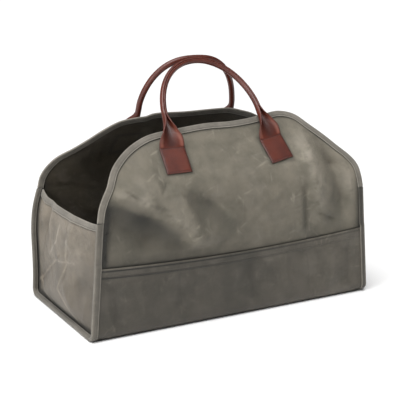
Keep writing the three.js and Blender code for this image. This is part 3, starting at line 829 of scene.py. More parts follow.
def place_base(u, v):
    share = 2 * u - 1
    top = band_height - band_dip * (1 - share**2)
    inset = canvas / 2
    out, radius = base_depth / 2 - inset, corner_radius - inset
    wall, bend, half_floor = top - inset - radius, radius * np.pi / 2, out - radius
    # Many rows go to the hems, where the relief is fine.
    half = np.minimum(v, 1 - v) * 2
    total = wall + bend + half_floor
    in_hem = half / hem_share * hem_run
    past = hem_run + (half - hem_share) / (1 - hem_share) * (total - hem_run)
    down = np.where(half < hem_share, in_hem, past)
    turn = np.clip((down - wall) / radius, 0, np.pi / 2)
    flat = np.maximum(down - wall - bend, 0)
    side = np.where(v < 0.5, -1.0, 1.0)
    y = -side * (radius - out - radius * np.cos(turn) + flat)
    z = inset + radius - radius * np.sin(turn) + np.maximum(wall - down, 0)
    x = share * (half_length(z, y) + sheet_reach)
    z = z + lift_at(x, z)
    from_seam = half_length(z, y) - np.abs(x)
    creases = np.where(
        v < 0.5, fold_depth(band_creases[-1], x, z), fold_depth(band_creases[1], x, z)
    )
    upright = smoothstep(z, 0.014, 0.035) * (1 - smoothstep(z, 0.098, 0.110))
    out_by = hem_relief(down) + creases * upright * smoothstep(from_seam, 0, 0.03)
    out_by = out_by * np.where(turn < 1e-6, 1, 0) * smoothstep(from_seam, -0.001, 0.012)
    y = y + side * out_by
    run = np.where(v < 0.5, down, 2 * total - down)
    # The folded edge is paler, most at the left: a painted highlight where the edge catches the
    # light, in part rubbed wear. The lines of stitches are darker at the left.
    edge_highlight_and_wear = near(down - 0.0008, 0.0014) * (0.35 - 0.2 * share)
    stitched = near(down - 0.0165, 0.0016) * (0.42 - 0.4 * share)
    stitched += near(down - 0.0042, 0.0014) * (0.7 - 0.25 * share)
    # Darker towards the left.
    darkening = 0.42 * (1 - smoothstep(x, -0.02, 0.24))
    # Painted shade in the hollows of the band's folds and a painted highlight on their ridges.
    shade_and_dirt = stitched + darkening - edge_highlight_and_wear - 45 * creases * upright
    return np.stack([x, y, z], -1), np.stack([x, run], -1), shade_and_dirt


cloth_piece(
    "base_cloth", grid_mesh("base_cloth", 190, 200, place_base), canvas, base_canvas_shaded,
    ["base_panel"], towards=(0, 0, -1), inside=inner_canvas_shaded,
)

# %% [markdown]
# ## The front and the back
# Each side is one sheet. Its columns start along the lower edge, behind the band, and
# spread out to meet the outline all the way round, so that its edge is a clean line for
# the tape. Its last strip is the part under the tape. Cutting a plain grid along the
# outline would be shorter, but it would leave a ragged row of faces there.

# %% Shade round the tabs
def tab_shade(panel, x, z):
    """A painted shadow round the edges of the two tabs."""
    cosine = 1 / np.hypot(1, lean_rate(panel))
    low = panel["height"] - tab_drop * cosine
    high = low + tab_length * cosine
    shade = 0
    for which, share, tilt in panel["legs"]:
        turned = np.tan(np.radians(tilt)) * which * (high - z) / cosine
        aside = np.abs(x - which * share * handle_spread / 2 - turned) - tab_width / 2
        above_or_below = np.maximum(z - high, low - z) / cosine
        outside = np.maximum(aside, above_or_below)
        shade = shade + 0.7 * near(outside, 0.004) * (z < high + 0.02)
    return shade


def panel_shade_and_dirt(panel, x, z, from_tape):
    """A side's painted shade and wear: a painted shadow under its tape and over the hem, painted
    shade by the lower flanges and round the tabs, darker low down at the left, and painted shade
    in the hollows of its folds with a painted highlight on their crests."""
    hem_top = band_height - band_dip * (1 - (x / (floor_length / 2)) ** 2)
    # A painted shadow beside the tape's inner edge.
    line = near(from_tape, 0.0026) * (z > band_lower + 0.012)
    # A painted shadow just over the hem, and a broader painted shade round the hem's top.
    seam = near(np.maximum(z - hem_top, 0), 0.0024)
    shade_and_dirt = np.maximum(line, 0.8 * seam) + 0.3 * near(z - hem_top, 0.014)
    # Painted shade in the folds' hollows, a painted highlight on their crests, and a painted
    # shadow round the tabs.
    shade_and_dirt += fold_depth(panel["wear"], x, z) + tab_shade(panel, x, z)
    # Painted shade by the lower flanges, on the upright part of the side.
    by_flange = np.abs(x) - half_length(z, panel["side"] * base_depth / 2)
    upright = smoothstep(z, 0.120, 0.145) * (1 - smoothstep(z, 0.215, 0.250))
    shade_and_dirt += 0.9 * near(np.minimum(by_flange, 0), 0.009) * upright
    # Darker low down, fading out towards the right.
    return shade_and_dirt + 0.26 * (1 - smoothstep(z, 0.12, 0.30)) * (1 - smoothstep(x, 0.02, 0.24))


print("shade round", sum(len(panel["legs"]) for panel in (front, back)), "tabs")

# %% Make the two sides
strip_share = 0.07
even_share = 0.25


def place_panel(panel):
    edge, inward, _ = panel_edge(panel)
    inner = edge + inward * tape_leg
    where = np.linspace(0, 1, outline_count)
    foot_left, foot_right = inner[0, 0], inner[-1, 0]
    slope_length = np.linspace(band_lower, panel["height"] * 1.06, 400)
    climb = np.gradient(reach_at(panel, slope_length), slope_length)
    climbed = np.cumsum(np.hypot(1, climb)) * (slope_length[1] - slope_length[0])

    def place(u, v):
        edge_x, edge_z = np.interp(u, where, edge[:, 0]), np.interp(u, where, edge[:, 1])
        inner_x, inner_z = np.interp(u, where, inner[:, 0]), np.interp(u, where, inner[:, 1])
        spread = even_share * u + (1 - even_share) * smoothstep(u, 0.1, 0.9)
        foot_x = foot_left + (foot_right - foot_left) * spread
        up = 1 - (1 - np.clip(v / (1 - strip_share), 0, 1)) ** 1.5
        strip = np.clip((v - 1 + strip_share) / strip_share, 0, 1)
        low = np.minimum(band_lower, inner_z)
        x = foot_x + (inner_x - foot_x) * up + (edge_x - inner_x) * strip
        z = low + (inner_z - low) * up + (edge_z - inner_z) * strip
        from_tape = np.where(strip > 0, 0, np.hypot(x - inner_x, z - inner_z))
        pattern = np.stack([x, np.interp(z, slope_length, climbed)], -1)
        return panel_place(panel, x, z), pattern, panel_shade_and_dirt(panel, x, z, from_tape)

    return place


panels = {"front": front, "back": back}
for name, panel in panels.items():
    mesh = grid_mesh(f"{name}_cloth", 200, 96, place_panel(panel))
    cloth_piece(
        f"{name}_cloth", mesh, canvas, side_canvas, [f"{name}_panel"],
        towards=(0, panel["side"], 0.3), inside=inner_canvas_shaded,
    )

# %% [markdown]
# ## The end gussets
# A gusset is sewn into a seam on three sides, with its edge turned out, and hangs free
# along its top. It puffs out over the flange at its foot and sags a little at the top. A
# grid whose rows run from the seam's line to the top edge follows both, which an inset of
# a flat plate wouldn't.

# %% Folds and wear of the gussets
left_folds = [
    (-0.128, 0.089, -0.064, 0.077, 0.026, 0.030, -0.0085),
    (0.024, 0.106, 0.120, 0.043, 0.010, 0.018, -0.0050),
    (-0.028, 0.132, -0.008, 0.070, 0.012, 0.010, -0.0035),
    (-0.008, 0.070, -0.046, 0.036, 0.010, 0.012, 0.0030),
    (0.085, 0.200, 0.094, 0.150, 0.012, 0.018, -0.0060),
    (0.110, 0.200, 0.116, 0.165, 0.008, 0.010, 0.0035),
    (0.058, 0.196, 0.070, 0.160, 0.008, 0.014, 0.0040),
    (-0.030, 0.196, -0.030, 0.148, 0.010, 0.014, 0.0030),
    (-0.110, 0.190, -0.120, 0.140, 0.014, 0.012, -0.0035),
    (0.024, 0.109, -0.072, 0.140, 0.014, 0.012, 0.0030),
]
right_folds = [
    (0.106, 0.106, 0.050, 0.064, 0.024, 0.028, -0.0065),
    (-0.021, 0.180, -0.042, 0.085, 0.018, 0.016, -0.0055),
    (-0.106, 0.064, -0.050, 0.043, 0.014, 0.016, -0.0045),
    (0.030, 0.200, 0.042, 0.150, 0.010, 0.016, 0.0040),
    (0.090, 0.196, 0.080, 0.150, 0.012, 0.012, -0.0040),
]
gusset_folds = {
    -1: left_folds + crumple(21, (-0.12, 0.12), (0.03, 0.19), 22, 0.0010),
    1: right_folds + crumple(22, (-0.12, 0.12), (0.03, 0.19), 22, 0.0010),
}
left_wear = [
    (0.142, 0.029, 0.036, 0.101), (0.036, 0.101, -0.050, 0.117), (-0.021, 0.176, -0.018, 0.108),
    (-0.018, 0.108, 0.013, 0.053), (0.013, 0.053, -0.071, 0.010), (0.130, 0.035, 0.064, 0.008),
    (0.066, 0.105, 0.027, 0.139), (0.027, 0.139, 0.020, 0.170),
]
right_wear = [
    (-0.130, 0.060, -0.040, 0.120), (-0.040, 0.120, 0.060, 0.090), (0.060, 0.090, 0.125, 0.140),
    (0.010, 0.180, 0.020, 0.112), (0.020, 0.112, -0.020, 0.030), (0.100, 0.020, 0.060, 0.060),
]
gusset_wear = {-1: left_wear, 1: right_wear}
wear_width = 0.0020


def worn_lines(rows, y, z):
    """Pale lines where a gusset was creased: the strongest that reaches each place."""
    strokes = [fold_depth([(*row, wear_width, wear_width, 1.0)], y, z) for row in rows]
    return np.max(strokes, axis=0)


print("worn lines", {end: len(rows) for end, rows in gusset_wear.items()})

# %% Where a gusset's cloth lies
gusset_corner = gusset_height - 2 * (tape + gap)
gusset_half = base_depth / 2 - canvas / 2 - 2 * layer_pitch
tape_end = gusset_half - tape_standoff - tape - gap
foot_puff = 0.006


def gusset_top(y):
    return gusset_corner - gusset_sag * (1 - (y / gusset_half) ** 6)


def gusset_place(end, y, z, past=0, wall=1):
    """A place on a gusset: past is how far it lies out in the flange, and wall is 0 in
    the flange and 1 on the wall."""
    t = z / gusset_height
    swell = np.cos(np.clip(y / gusset_half, -1, 1) * np.pi / 2) ** 2
    depth = gusset_puff * (3.6 * t * (1 - t) + 0.35 * t)
    above_floor = z - 2 * layer_pitch
    foot = foot_puff * smoothstep(above_floor, 0.003, 0.024) * (1 - smoothstep(z, 0.03, 0.11))
    foot = foot * np.clip(4 * swell, 0, 1)
    free = smoothstep(gusset_half - np.abs(y), 0.002, 0.02) * smoothstep(above_floor, 0.004, 0.02)
    free = free * (1 - 0.7 * smoothstep(z, gusset_height - 0.03, gusset_height - 0.012))
    bulge = depth * swell + foot + fold_depth(gusset_folds[end], y, z) * free
    x = half_length(z, y) + past + bulge * wall
    return np.stack([end * x, y, z + lift_at(x, z)], -1)


def gusset_facing(end, y, z):
    step = 0.0005
    along = gusset_place(end, y + step, z) - gusset_place(end, y - step, z)
    up = gusset_place(end, y, z + step) - gusset_place(end, y, z - step)
    facing = np.cross(along, up) * end
    return facing / np.linalg.norm(facing, axis=-1, keepdims=True)


print(f"a gusset's tape is {2 * tape_end:.3f} m long")

# %% Make the gussets
rim_count = 401
flange_share = 0.06
under_tape_share = 0.10


def gusset_shade_and_dirt(end, y, z, edge, wall):
    """A gusset's painted shade and wear: a painted shadow under its tape, painted shade by its rim
    and at its foot, pale lines where it was creased, darker towards the bottom, and a painted
    highlight where it bulges with painted shade where it sinks in."""
    # A painted shadow under the tape.
    shade_and_dirt = 0.8 * near(np.maximum(edge - tape_leg - z, 0), 0.0022)
    # Painted shade by the rim and at the foot, where the cloth meets the flange.
    shade_and_dirt += 1 - smoothstep(np.minimum(gusset_half - np.abs(y), 0.7 * z), 0.003, 0.014)
    shade_and_dirt -= 0.8 * worn_lines(gusset_wear[end], y, z) * wall
    # Darker towards the bottom, a little paler higher up.
    shade_and_dirt += 0.5 * (1 - smoothstep(z, 0.0, 0.14)) - 0.08 * smoothstep(z, 0.10, 0.17)
    # A painted highlight where the folds bulge out, and painted shade where they sink in.
    return shade_and_dirt - 0.4 * np.clip(fold_depth(gusset_folds[end], y, z) / 0.009, -1, 1) * wall


def place_gusset(end):
    rim_y, rim_z, face_y, face_z, _ = girth(2, gusset_corner - tape_leg, rim_count)
    where = np.linspace(0, 1, rim_count)

    def place(u, v):
        y0, z0 = np.interp(u, where, rim_y), np.interp(u, where, rim_z)
        top_y = tape_end * (2 * u - 1)
        edge = gusset_top(top_y)
        past = sheet_reach * np.clip(1 - v / flange_share, 0, 1)
        up = np.clip((v - flange_share) / (1 - flange_share - under_tape_share), 0, 1)
        last = np.clip((v - 1 + under_tape_share) / under_tape_share, 0, 1)
        wall = smoothstep(up, 0, 0.02)
        y = y0 + (top_y - y0) * up
        z = z0 + (edge - tape_leg - z0) * up + tape_leg * last
        points = gusset_place(end, y, z, past, wall)
        out_y = np.interp(u, where, face_y) * past
        out_z = np.interp(u, where, face_z) * past
        pattern = np.stack([y + out_y, z + out_z], -1)
        return points, pattern, gusset_shade_and_dirt(end, y, z, edge, wall)

    return place


gusset_sides = {"left": -1, "right": 1}
for name, end in gusset_sides.items():
    mesh = grid_mesh(f"{name}_gusset_cloth", 240, 140, place_gusset(end))
    cloth_piece(
        f"{name}_gusset_cloth", mesh, canvas, end_canvas_lit, [f"{name}_gusset"],
        towards=(end, 0, 0), inside=inner_canvas_shaded,
    )

# %% [markdown]
# ## Binding tape
# A strip of tape is folded over each edge and sewn through, so it is a U in section, with
# a soft round fold. The stitches pull it in a little. A curve with a bevel object could
# sweep the section, but it would turn about its own path, while the tape has to lie flat
# on the cloth. So each place on the tape is found from the cloth under it: the way out
# past the edge, and the way that the cloth faces.

# %% The section of a folded tape
stitch_pitch = 0.0040
tape_stitch = 0.0026
section_count = 34


def tape_section(inner_out, inner_in, half_out, half_in, tip):
    """The U of a folded tape: how far out past the edge and how far off the cloth each
    point lies, and the distance along the section."""
    bend = np.linspace(0, np.pi, 9)
    middle, radius = (half_out - half_in) / 2, (half_out + half_in) / 2
    round_part = [(tip - radius + radius * np.sin(a), middle + radius * np.cos(a)) for a in bend]
    points = np.array([(inner_out, half_out)] + round_part + [(inner_in, -half_in)])
    steps = np.linalg.norm(np.diff(points, axis=0), axis=1)
    run = np.concatenate([[0], np.cumsum(steps)])
    even = np.linspace(0, run[-1], section_count)
    return np.interp(even, run, points[:, 0]), np.interp(even, run, points[:, 1]), even


def read_section(section, v):
    """At each v: the way past the edge, the way off the cloth, the distance along the
    section, and how far that is from the tape's own edge and from its fold."""
    shares = np.linspace(0, 1, section_count)
    past, off, along = (np.interp(v, shares, table) for table in section)
    total = section[2][-1]
    return past, off, along, np.minimum(along, total - along), np.abs(along - total / 2)


def stitch_pull(from_edge, along):
    """How the stitch row draws the tape in, given the distance from the tape's edge."""
    row = near(from_edge - tape_stitch, 0.0009)
    return 0.00022 * row * (0.75 + 0.25 * np.cos(2 * np.pi * along / stitch_pitch))


def tape_highlight_and_stitch_line(from_edge, to_fold):
    """A tape has a painted highlight at its own edge and along its fold, and is dark in its
    stitches.
    """
    pale = near(from_edge, 0.0012) + 0.6 * near(to_fold, 0.0016)
    return 0.4 * near(from_edge - tape_stitch, 0.0008) - 0.6 * pale


free_section = tape_section(
    -tape_leg, -tape_leg, tape_standoff, tape_standoff, 2 * gap + tape
)
print(f"a tape is {free_section[2][-1] * 1000:.1f} mm wide before it is folded")


# %% Tape over the sides' free edges
def fold_over(edge, up, facing, past, off):
    """Places on a tape: past the edge along up, and off the cloth along its facing."""
    return edge + up * np.maximum(past, 0)[:, None] + facing * off[:, None]


def unit_rows(vectors):
    return vectors / np.linalg.norm(vectors, axis=-1, keepdims=True)


def place_free_tape(panel):
    """The tape over the free edge of a side, between the gussets' tops."""
    edge, inward, run = panel_edge(panel)
    over = edge[:, 1] >= gusset_height - gap
    edge, inward, run = edge[over], inward[over], run[over]
    where = np.linspace(0, 1, len(run))

    def place(u, v):
        edge_x, edge_z = np.interp(u, where, edge[:, 0]), np.interp(u, where, edge[:, 1])
        in_x, in_z = np.interp(u, where, inward[:, 0]), np.interp(u, where, inward[:, 1])
        along = np.interp(u, where, run)
        past, off, across, from_edge, to_fold = read_section(free_section, v)
        depth = np.minimum(past, 0)
        x, z = edge_x - in_x * depth, edge_z - in_z * depth
        inner = panel_place(panel, edge_x + in_x * tape_leg, edge_z + in_z * tape_leg)
        up = unit_rows(panel_place(panel, edge_x, edge_z) - inner)
        off = off - np.sign(off) * stitch_pull(from_edge, along)
        points = fold_over(panel_place(panel, x, z), up, panel_facing(panel, x, z), past, off)
        return points, np.stack([along, across], -1), tape_highlight_and_stitch_line(from_edge, to_fold)

    return place


for name, panel in panels.items():
    mesh = grid_mesh(f"{name}_edge_tape", 300, section_count - 1, place_free_tape(panel))
    cloth_piece(
        f"{name}_edge_tape", mesh, tape, tape_cloth, [f"{name}_edge_binding"],
    )


# %% Tape over the gussets' tops
def place_gusset_tape(end):
    def place(u, v):
        y = tape_end * (2 * u - 1)
        past, off, across, from_edge, to_fold = read_section(free_section, v)
        top = gusset_top(y)
        z = top + np.minimum(past, 0)
        up = unit_rows(gusset_place(end, y, top) - gusset_place(end, y, top - tape_leg))
        off = off - np.sign(off) * stitch_pull(from_edge, y)
        points = fold_over(gusset_place(end, y, z), up, gusset_facing(end, y, z), past, off)
        return points, np.stack([y, across], -1), tape_highlight_and_stitch_line(from_edge, to_fold)

    return place


for name, end in gusset_sides.items():
    mesh = grid_mesh(f"{name}_gusset_tape", 120, section_count - 1, place_gusset_tape(end))
    cloth_piece(
        f"{name}_gusset_tape", mesh, tape, tape_cloth, [f"{name}_gusset_binding"],
    )

# %% Tape round the gussets' seams
inner_start = 2 * canvas + gap
seam_off = tape_standoff + layer_pitch
seam_section = tape_section(0, inner_start, seam_off, seam_off, seam_flange - tape / 2)
seam_count = 801


def seam_outer(z):
    """How far the tape's outer leg stands off: less above the band, a layer thinner."""
    return seam_off - layer_pitch * smoothstep(z, band_height + 0.002, band_height + 0.009)


def seam_tape_shade_and_highlight(end, z, from_edge, to_fold):
    """A tape's highlight and stitch line, a little darker all over, darker along a groove in its
    middle with painted shade making it darker at the right end, and painted shade above the band
    at the right end.
    """
    above_band = smoothstep(z, band_height, band_height + 0.01)
    wear = tape_highlight_and_stitch_line(from_edge, to_fold) + 0.3
    # Darker along a groove, with painted shade making it darker at the right end.
    wear += (0.35 + 0.25 * end) * near(from_edge - 0.0052, 0.002)
    # Painted shade on the tape above the band at the right end.
    return wear + 0.35 * (1 + end) * above_band * (1 - smoothstep(from_edge, 0.006, 0.009))


def place_seam_tape(end):
    """The tape over every layer of the seam round a gusset."""
    line_y, line_z, face_y, face_z, run = girth(1, gusset_height - gap, seam_count)
    where = np.linspace(0, 1, seam_count)

    def place(u, v):
        tables = (line_y, line_z, face_y, face_z, run)
        y0, z0, out_y, out_z, along = (np.interp(u, where, table) for table in tables)
        past, off, across, from_edge, to_fold = read_section(seam_section, v)
        off = np.where(off > 0, off * seam_outer(z0) / seam_off, off)
        off = off - np.sign(off) * stitch_pull(from_edge, along)
        x = half_length(z0, y0) + past
        y, z = y0 + out_y * off, z0 + out_z * off
        points = np.stack([end * x, y, z + lift_at(x, z0)], -1)
        return points, np.stack([along, across], -1), seam_tape_shade_and_highlight(end, z0, from_edge, to_fold)

    return place


for name, end in gusset_sides.items():
    mesh = grid_mesh(f"{name}_seam_tape", 360, section_count - 1, place_seam_tape(end))
    cloth_piece(
        f"{name}_seam_tape", mesh, tape, tape_cloth, [f"{name}_seam_binding"],
    )

# %% [markdown]
# ## The handles
# A handle is one strip of leather. It lies flat where it is sewn on, then its two edges
# curl outwards and towards each other until they meet, and from there on it is a round
# grip with its seam on the outside. A tube and two plates would need a join between them.
# Here the section is an arc whose angle grows from nothing to a full turn while the strip
# gets narrower, so one sheet of leather makes it all and the flare's hollow opens outwards.

# %% The strip and its path
leather = 0.003
rolled_leather = 0.0019
handle_radius = 0.00575
handle_lift = 0.009
arch_steps = 12

# How far the section has turned, and how wide the strip is, by the way up from the tab.
section_turn = [
    (0, 0), (0.009, 0.7), (0.018, 1.7), (0.028, 3.0), (0.037, 3.95), (0.046, 5.0), (0.055, 5.8),
    (0.064, 6.24),
]
strip_width = [
    (0, 0.050), (0.009, 0.050), (0.018, 0.048), (0.028, 0.044), (0.037, 0.0415),
    (0.046, 0.0375), (0.055, 0.0345), (0.064, 0.0303),
]
rolled_up = section_turn[-1][0]


def handle_path(panel):
    side, rate = panel["side"], lean_rate(panel)
    unit = lambda *v: np.array(v) / np.linalg.norm(v)
    up, out = unit(0, -side * rate, 1), unit(0, side, rate)
    arch_up = unit(0, -side * panel["handle_lean"], 1)
    top = np.array([0, side * panel["top_reach"], panel["height"]])
    lift = canvas / 2 + gap + leather / 2

    def leg(which, share, tilt):
        turn = np.radians(tilt) * -which
        along = up * np.cos(turn) + np.array([np.sin(turn), 0, 0])
        head = top + up * (tab_length - tab_drop) + out * lift
        head[0] = which * share * handle_spread / 2
        foot = head - along * tab_length
        return [foot, foot + along * tab_length * 0.5, head]

    arch = []
    for i in range(arch_steps + 1):
        angle = i / arch_steps * np.pi
        past_top = i > arch_steps / 2
        point = top + out * handle_lift + arch_up * panel["rise"] * np.sin(angle)
        sideways = np.sign(np.cos(angle)) * abs(np.cos(angle)) ** panel["fullness"][past_top]
        drift = panel["drift"][past_top] * (1 - np.sin(angle))
        point[0] = drift - sideways * handle_spread / 2
        arch.append(point)
    first, second = [leg(*row) for row in panel["legs"]]
    arch_out = unit(0, side, panel["handle_lean"])
    return first + arch + second[::-1], out, arch_out


for name, panel in panels.items():
    print(name, f"handle's middle line is {smooth_path(handle_path(panel)[0], 801)[1]:.3f} m")

# %% Shape the handles
path_count = 801
groove_depth = 0.0004
stitch_inset = 0.0028
mid_radius = handle_radius - rolled_leather / 2


def tab_groove(t, width, from_tip, along):
    """The stitched line that runs round a tab, from 0 to 1."""
    by_side = near(np.abs(t) * width / 2 - (width / 2 - stitch_inset), row_width)
    row = np.maximum(by_side * (along < 0.001), near(from_tip - stitch_inset, row_width))
    return np.maximum(row, near(along + 0.0012, 0.001))


def handle_dye_and_shade(t, along, groove):
    """Dyed dark at the strip's cut edges and in its grooves, with painted shade in the hollow of a
    flare and a painted highlight on the rims of the flare."""
    in_flare = smoothstep(along, -0.001, 0.004) * (1 - smoothstep(along, 0.034, 0.062))
    edge_dye = near(np.abs(t) - 1, 0.05) * (1 - smoothstep(along, 0, 0.012))
    # Painted shade in the flare's hollow and a painted highlight on its rims.
    flare_shade_and_rim_highlight = near(t, 0.42) - 0.9 * near(np.abs(t) - 0.8, 0.16)
    return edge_dye + 0.9 * in_flare * flare_shade_and_rim_highlight * (groove >= 0) + 0.8 * np.maximum(groove, 0)


def place_handle(panel):
    points, out, arch_out = handle_path(panel)
    path, length = smooth_path(points, path_count)
    tangents = unit_rows(np.gradient(path, axis=0))
    where = np.linspace(0, 1, path_count)

    def place(u, v):
        # More columns at the ends, where the tabs and the flares are.
        share = 0.55 * u + 0.45 * (0.5 - 0.5 * np.cos(u * np.pi))
        stop = share * length
        from_tip = np.minimum(stop, length - stop)
        along = from_tip - tab_length
        up_flare = np.clip(along / panel["flare"], 0, rolled_up)
        turn = np.maximum(read(section_turn, up_flare), 0)
        width = read(strip_width, up_flare)
        rolled = smoothstep(turn, 0, 2 * np.pi)
        thick = leather + (rolled_leather - leather) * smoothstep(along, 0, 0.045)
        centre = np.stack([np.interp(share, where, c) for c in path.T], 1)
        forward = np.stack([np.interp(share, where, c) for c in tangents.T], 1)
        across = unit_rows(np.cross(out + (arch_out - out) * rolled[:, None], forward))
        facing = np.cross(forward, across)
        # Round the section: out along the front of the strip, over its edge, and back
        # along the rear. The ends of the strip are a little rounded.
        t = np.where(v < 0.5, v * 4 - 1, 3 - v * 4)
        rim = np.sqrt(np.clip(1 - ((np.abs(t) - 0.96) / 0.04).clip(0, 1) ** 2, 0.0, 1))
        sidedness = np.where(v < 0.5, 1.0, -1.0) * rim
        tip = np.sqrt(np.clip(1 - (1 - from_tip / 0.0012).clip(0, 1) ** 2, 0.08, 1))
        groove = np.where(sidedness > 0, tab_groove(t, width, from_tip, along), -1)
        half_thick = thick / 2 * sidedness * tip - groove_depth * np.maximum(groove, 0)
        s = t * width / 2
        bend = np.maximum(turn / width, 1e-4)
        angle = s * bend
        local_out = (1 - np.cos(angle)) / bend - mid_radius * rolled + np.cos(angle) * half_thick
        local_across = np.sin(angle) / bend - np.sin(angle) * half_thick
        points = centre + across * local_across[:, None] + facing * local_out[:, None]
        pattern = np.stack([stop, s + 0.1 * (v >= 0.5)], -1)
        return points, pattern, handle_dye_and_shade(t, along, groove)

    return place


for name, panel in panels.items():
    mesh = grid_mesh(f"{name}_leather_handle", 360, 64, place_handle(panel), closed=True)
    finish_piece(
        f"{name}_leather_handle", mesh, leather_hide, [f"{name}_handle"]
    )

# %% [markdown]
# ## Stitches
# Rows of stitches hold the tapes, the hems and the tabs. An array that follows a curve
# could lay them, but it would need a curve for each row. There are hundreds, so each one
# is a copy of one small ball with few faces, drawn out along its row and sunk a little
# into the cloth.

# %% A row of stitches
stitch_length = 0.0029
stitch_thick = 0.00042
stitch_sink = 0.0001
on_tape = tape / 2 - stitch_sink


def one_stitch():
    """The corners and faces of a stitch that lies along X."""
    bm = bmesh.new()
    size = Matrix.Diagonal((stitch_length / 2, stitch_thick, stitch_thick * 0.8, 1))
    bmesh.ops.create_icosphere(bm, subdivisions=1, radius=1.0, matrix=size)
    corners = np.array([v.co[:] for v in bm.verts])
    faces = np.array([[v.index for v in face.verts] for face in bm.faces])
    bm.free()
    return corners, faces


def sew(name, rows, material):
    """Rows of stitches: each is a list of places and of the ways the surface faces."""
    corners, faces = one_stitch()
    sewn = []
    for places, facings in rows:
        steps = np.linalg.norm(np.diff(places, axis=0), axis=1)
        run = np.concatenate([[0], np.cumsum(steps)])
        stops = np.arange(stitch_pitch / 2, run[-1], stitch_pitch)
        at = lambda table, s: np.stack([np.interp(s, run, c) for c in table.T], 1)
        along = at(places, stops + 0.001) - at(places, stops - 0.001)
        side = np.cross(at(facings, stops), along)
        turn = np.stack([along, side, np.cross(along, side)], 1)
        turn /= np.linalg.norm(turn, axis=2, keepdims=True)
        sewn.append(at(places, stops)[:, None] + corners @ turn)
    points = np.concatenate(sewn)
    offsets = np.arange(len(points))[:, None, None] * len(corners)
    mesh = bpy.data.meshes.new(name)
    mesh.from_pydata(points.reshape(-1, 3), [], (faces + offsets).reshape(-1, 3))
    mesh.uv_layers.new(name="cut")
    return finish_piece(name, mesh, material, [])


print(f"a stitch is {stitch_length * 1000:.1f} mm long, every {stitch_pitch * 1000:.1f} mm")


# %% Sew the tapes
def panel_row(panel, side):
    edge, inward, _ = panel_edge(panel)
    over = edge[:, 1] >= gusset_height + 0.002
    x, z = (edge[over] + inward[over] * (tape_leg - tape_stitch)).T
    facing = panel_facing(panel, x, z) * side
    return panel_place(panel, x, z) + facing * (tape_standoff + on_tape), facing


for name, panel in panels.items():
    rows = [panel_row(panel, side) for side in (1, -1)]
    sew(f"{name}_edge_stitches", rows, grey_thread)


def gusset_row(end, side):
    y = np.linspace(0.006 - gusset_half, gusset_half - 0.006, 120)
    z = gusset_top(y) - tape_leg + tape_stitch
    facing = gusset_facing(end, y, z) * side
    return gusset_place(end, y, z) + facing * (tape_standoff + on_tape), facing


def seam_row(end, side):
    """A row on the outer leg of the seam's tape for side 1, and on its inner one for -1.
    The outer one stops above the floor."""
    y0, z0, out_y, out_z, _ = girth(1, gusset_height - 0.003, 400)
    outer = side > 0
    off = (seam_outer(z0) if outer else seam_off) + on_tape
    x = half_length(z0, y0) + tape_stitch + (0 if outer else inner_start)
    y, z = y0 + out_y * off * side, z0 + out_z * off * side
    facing = np.stack([0 * out_y, out_y, out_z], 1) * side
    keep = (z0 > 0.02) | (not outer)
    return np.stack([end * x, y, z + lift_at(x, z0)], 1)[keep], facing[keep]


for name, end in gusset_sides.items():
    rows = [gusset_row(end, 1), gusset_row(end, -1)]
    sew(f"{name}_gusset_stitches", rows, grey_thread)
    places, facings = seam_row(end, 1)
    halves = (places[:, 1] < 0, places[:, 1] >= 0)
    rows = [(places[half], facings[half]) for half in halves] + [seam_row(end, -1)]
    sew(f"{name}_seam_stitches", rows, grey_thread)


# %% Sew the hems
def hem_row(side, below):
    x = np.linspace(-0.268, 0.268, 240)
    share = x / (floor_length / 2)
    z = band_height - band_dip * (1 - share**2) - below
    y = side * (base_depth / 2 + hem_relief(np.full_like(x, below)) - stitch_sink)
    facing = np.stack([0 * x, side + 0 * x, 0 * x], 1)
    return np.stack([x, y, z], 1), facing


for name, panel in panels.items():
    rows = [hem_row(panel["side"], below) for below in hem_rows]
    sew(f"{name}_hem_stitches", rows, grey_thread)


# %% Sew the tabs
def tab_rows(panel):
    points, out, _ = handle_path(panel)
    head_inset = 0.002
    half, inset = tab_width / 2 - stitch_inset, stitch_inset
    rows = []
    for foot, head in ((points[0], points[2]), (points[-1], points[-3])):
        along = (head - foot) / np.linalg.norm(head - foot)
        across = np.cross(out, along)
        high = tab_length - head_inset
        corners = [(half, high), (half, inset), (-half, inset), (-half, high), (half, high)]
        lift = out * (leather / 2 - 0.0003)
        corners = [foot + across * a + along * b + lift for a, b in corners]
        for one, other in zip(corners, corners[1:]):
            places = np.linspace(one, other, 30)
            rows.append((places, np.tile(out, (30, 1))))
    return rows


for name, panel in panels.items():
    sew(f"{name}_tab_stitches", tab_rows(panel), brown_thread)

# %% [markdown]
# ## Studio
# The bag stands on a plain pale floor. An overcast sky from above lights the floor evenly
# as far as any view sees it, and a soft window at the left shows the folds. Area lights
# alone could do both, but they would leave the far floor dark. The camera looks from the
# front left, a little above the bag, with a long lens.

# %% Floor
def plain_floor(half_size):
    bm = bmesh.new()
    bmesh.ops.create_grid(bm, x_segments=1, y_segments=1, size=half_size)
    mesh = bpy.data.meshes.new("studio_floor")
    bm.to_mesh(mesh)
    bm.free()
    finish = Finish("studio_floor")
    finish.shader.inputs["Base Color"].default_value = (0.93, 0.93, 0.93, 1)
    finish.shader.inputs["Roughness"].default_value = 0.9
    mesh.materials.append(finish.material)
    floor = bpy.data.objects.new("studio_floor", mesh)
    floor.location.z = -0.0005
    bpy.context.scene.collection.objects.link(floor)


plain_floor(20)
print("the floor lies half a millimetre under the bag")


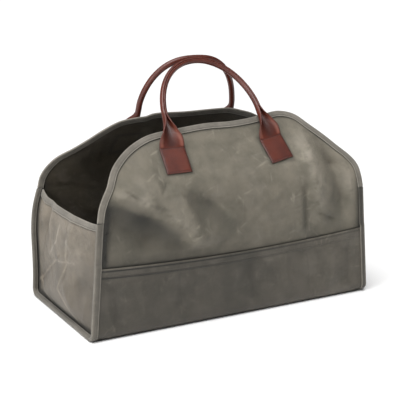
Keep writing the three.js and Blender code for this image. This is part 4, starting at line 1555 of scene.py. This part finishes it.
# %% Light
def hang_lamp(light, place, aim):
    lamp = bpy.data.objects.new(light.name, light)
    lamp.location = place
    lamp.rotation_euler = Vector(aim).to_track_quat("-Z", "Y").to_euler()
    bpy.context.scene.collection.objects.link(lamp)


window_place = Vector((-2.3, -0.9, 1.25))
window = bpy.data.lights.new("window_left", "AREA")
window.shape = "RECTANGLE"
window.size, window.size_y = 1.0, 1.0
window.energy = 30
hang_lamp(window, window_place, Vector((0, 0, 0.15)) - window_place)

overcast = bpy.data.lights.new("overcast", "SUN")
overcast.energy = 3.6
overcast.angle = np.radians(50)
hang_lamp(overcast, (0, 0, 0), (0.25, 0.2, -1))

# The world shines softly, and what the camera sees of it is plain white.
world = bpy.data.worlds.new("studio")
world.use_nodes = True
nodes, links = world.node_tree.nodes, world.node_tree.links
glow = nodes["Background"]
glow.inputs["Strength"].default_value = 0.1
glow.inputs["Color"].default_value = (1, 1, 1, 1)
backdrop = nodes.new("ShaderNodeBackground")
backdrop.inputs["Color"].default_value = (1, 1, 1, 1)
seen = nodes.new("ShaderNodeLightPath")
either = nodes.new("ShaderNodeMixShader")
links.new(seen.outputs["Is Camera Ray"], either.inputs[0])
links.new(glow.outputs[0], either.inputs[1])
links.new(backdrop.outputs[0], either.inputs[2])
links.new(either.outputs[0], nodes["World Output"].inputs["Surface"])
bpy.context.scene.world = world
bpy.context.scene.view_settings.view_transform = "Standard"

print(f"window {window.energy:.0f} W, sky {overcast.energy:.1f} W a square metre")

# %% Camera
azimuth, elevation = np.radians(-28.6), np.radians(14.7)
camera_distance = 2.115
target = np.array([-0.001, 0, 0.188])
away = np.array([
    np.sin(azimuth) * np.cos(elevation), -np.cos(azimuth) * np.cos(elevation), np.sin(elevation)
])
lens = bpy.data.cameras.new("camera")
lens.lens = 99
lens.sensor_width = 36
camera = bpy.data.objects.new("camera", lens)
camera.location = target + camera_distance * away
camera.rotation_euler = Vector(-away).to_track_quat("-Z", "Y").to_euler()
bpy.context.scene.collection.objects.link(camera)
bpy.context.scene.camera = camera
print("camera at", [round(v, 3) for v in camera.location])
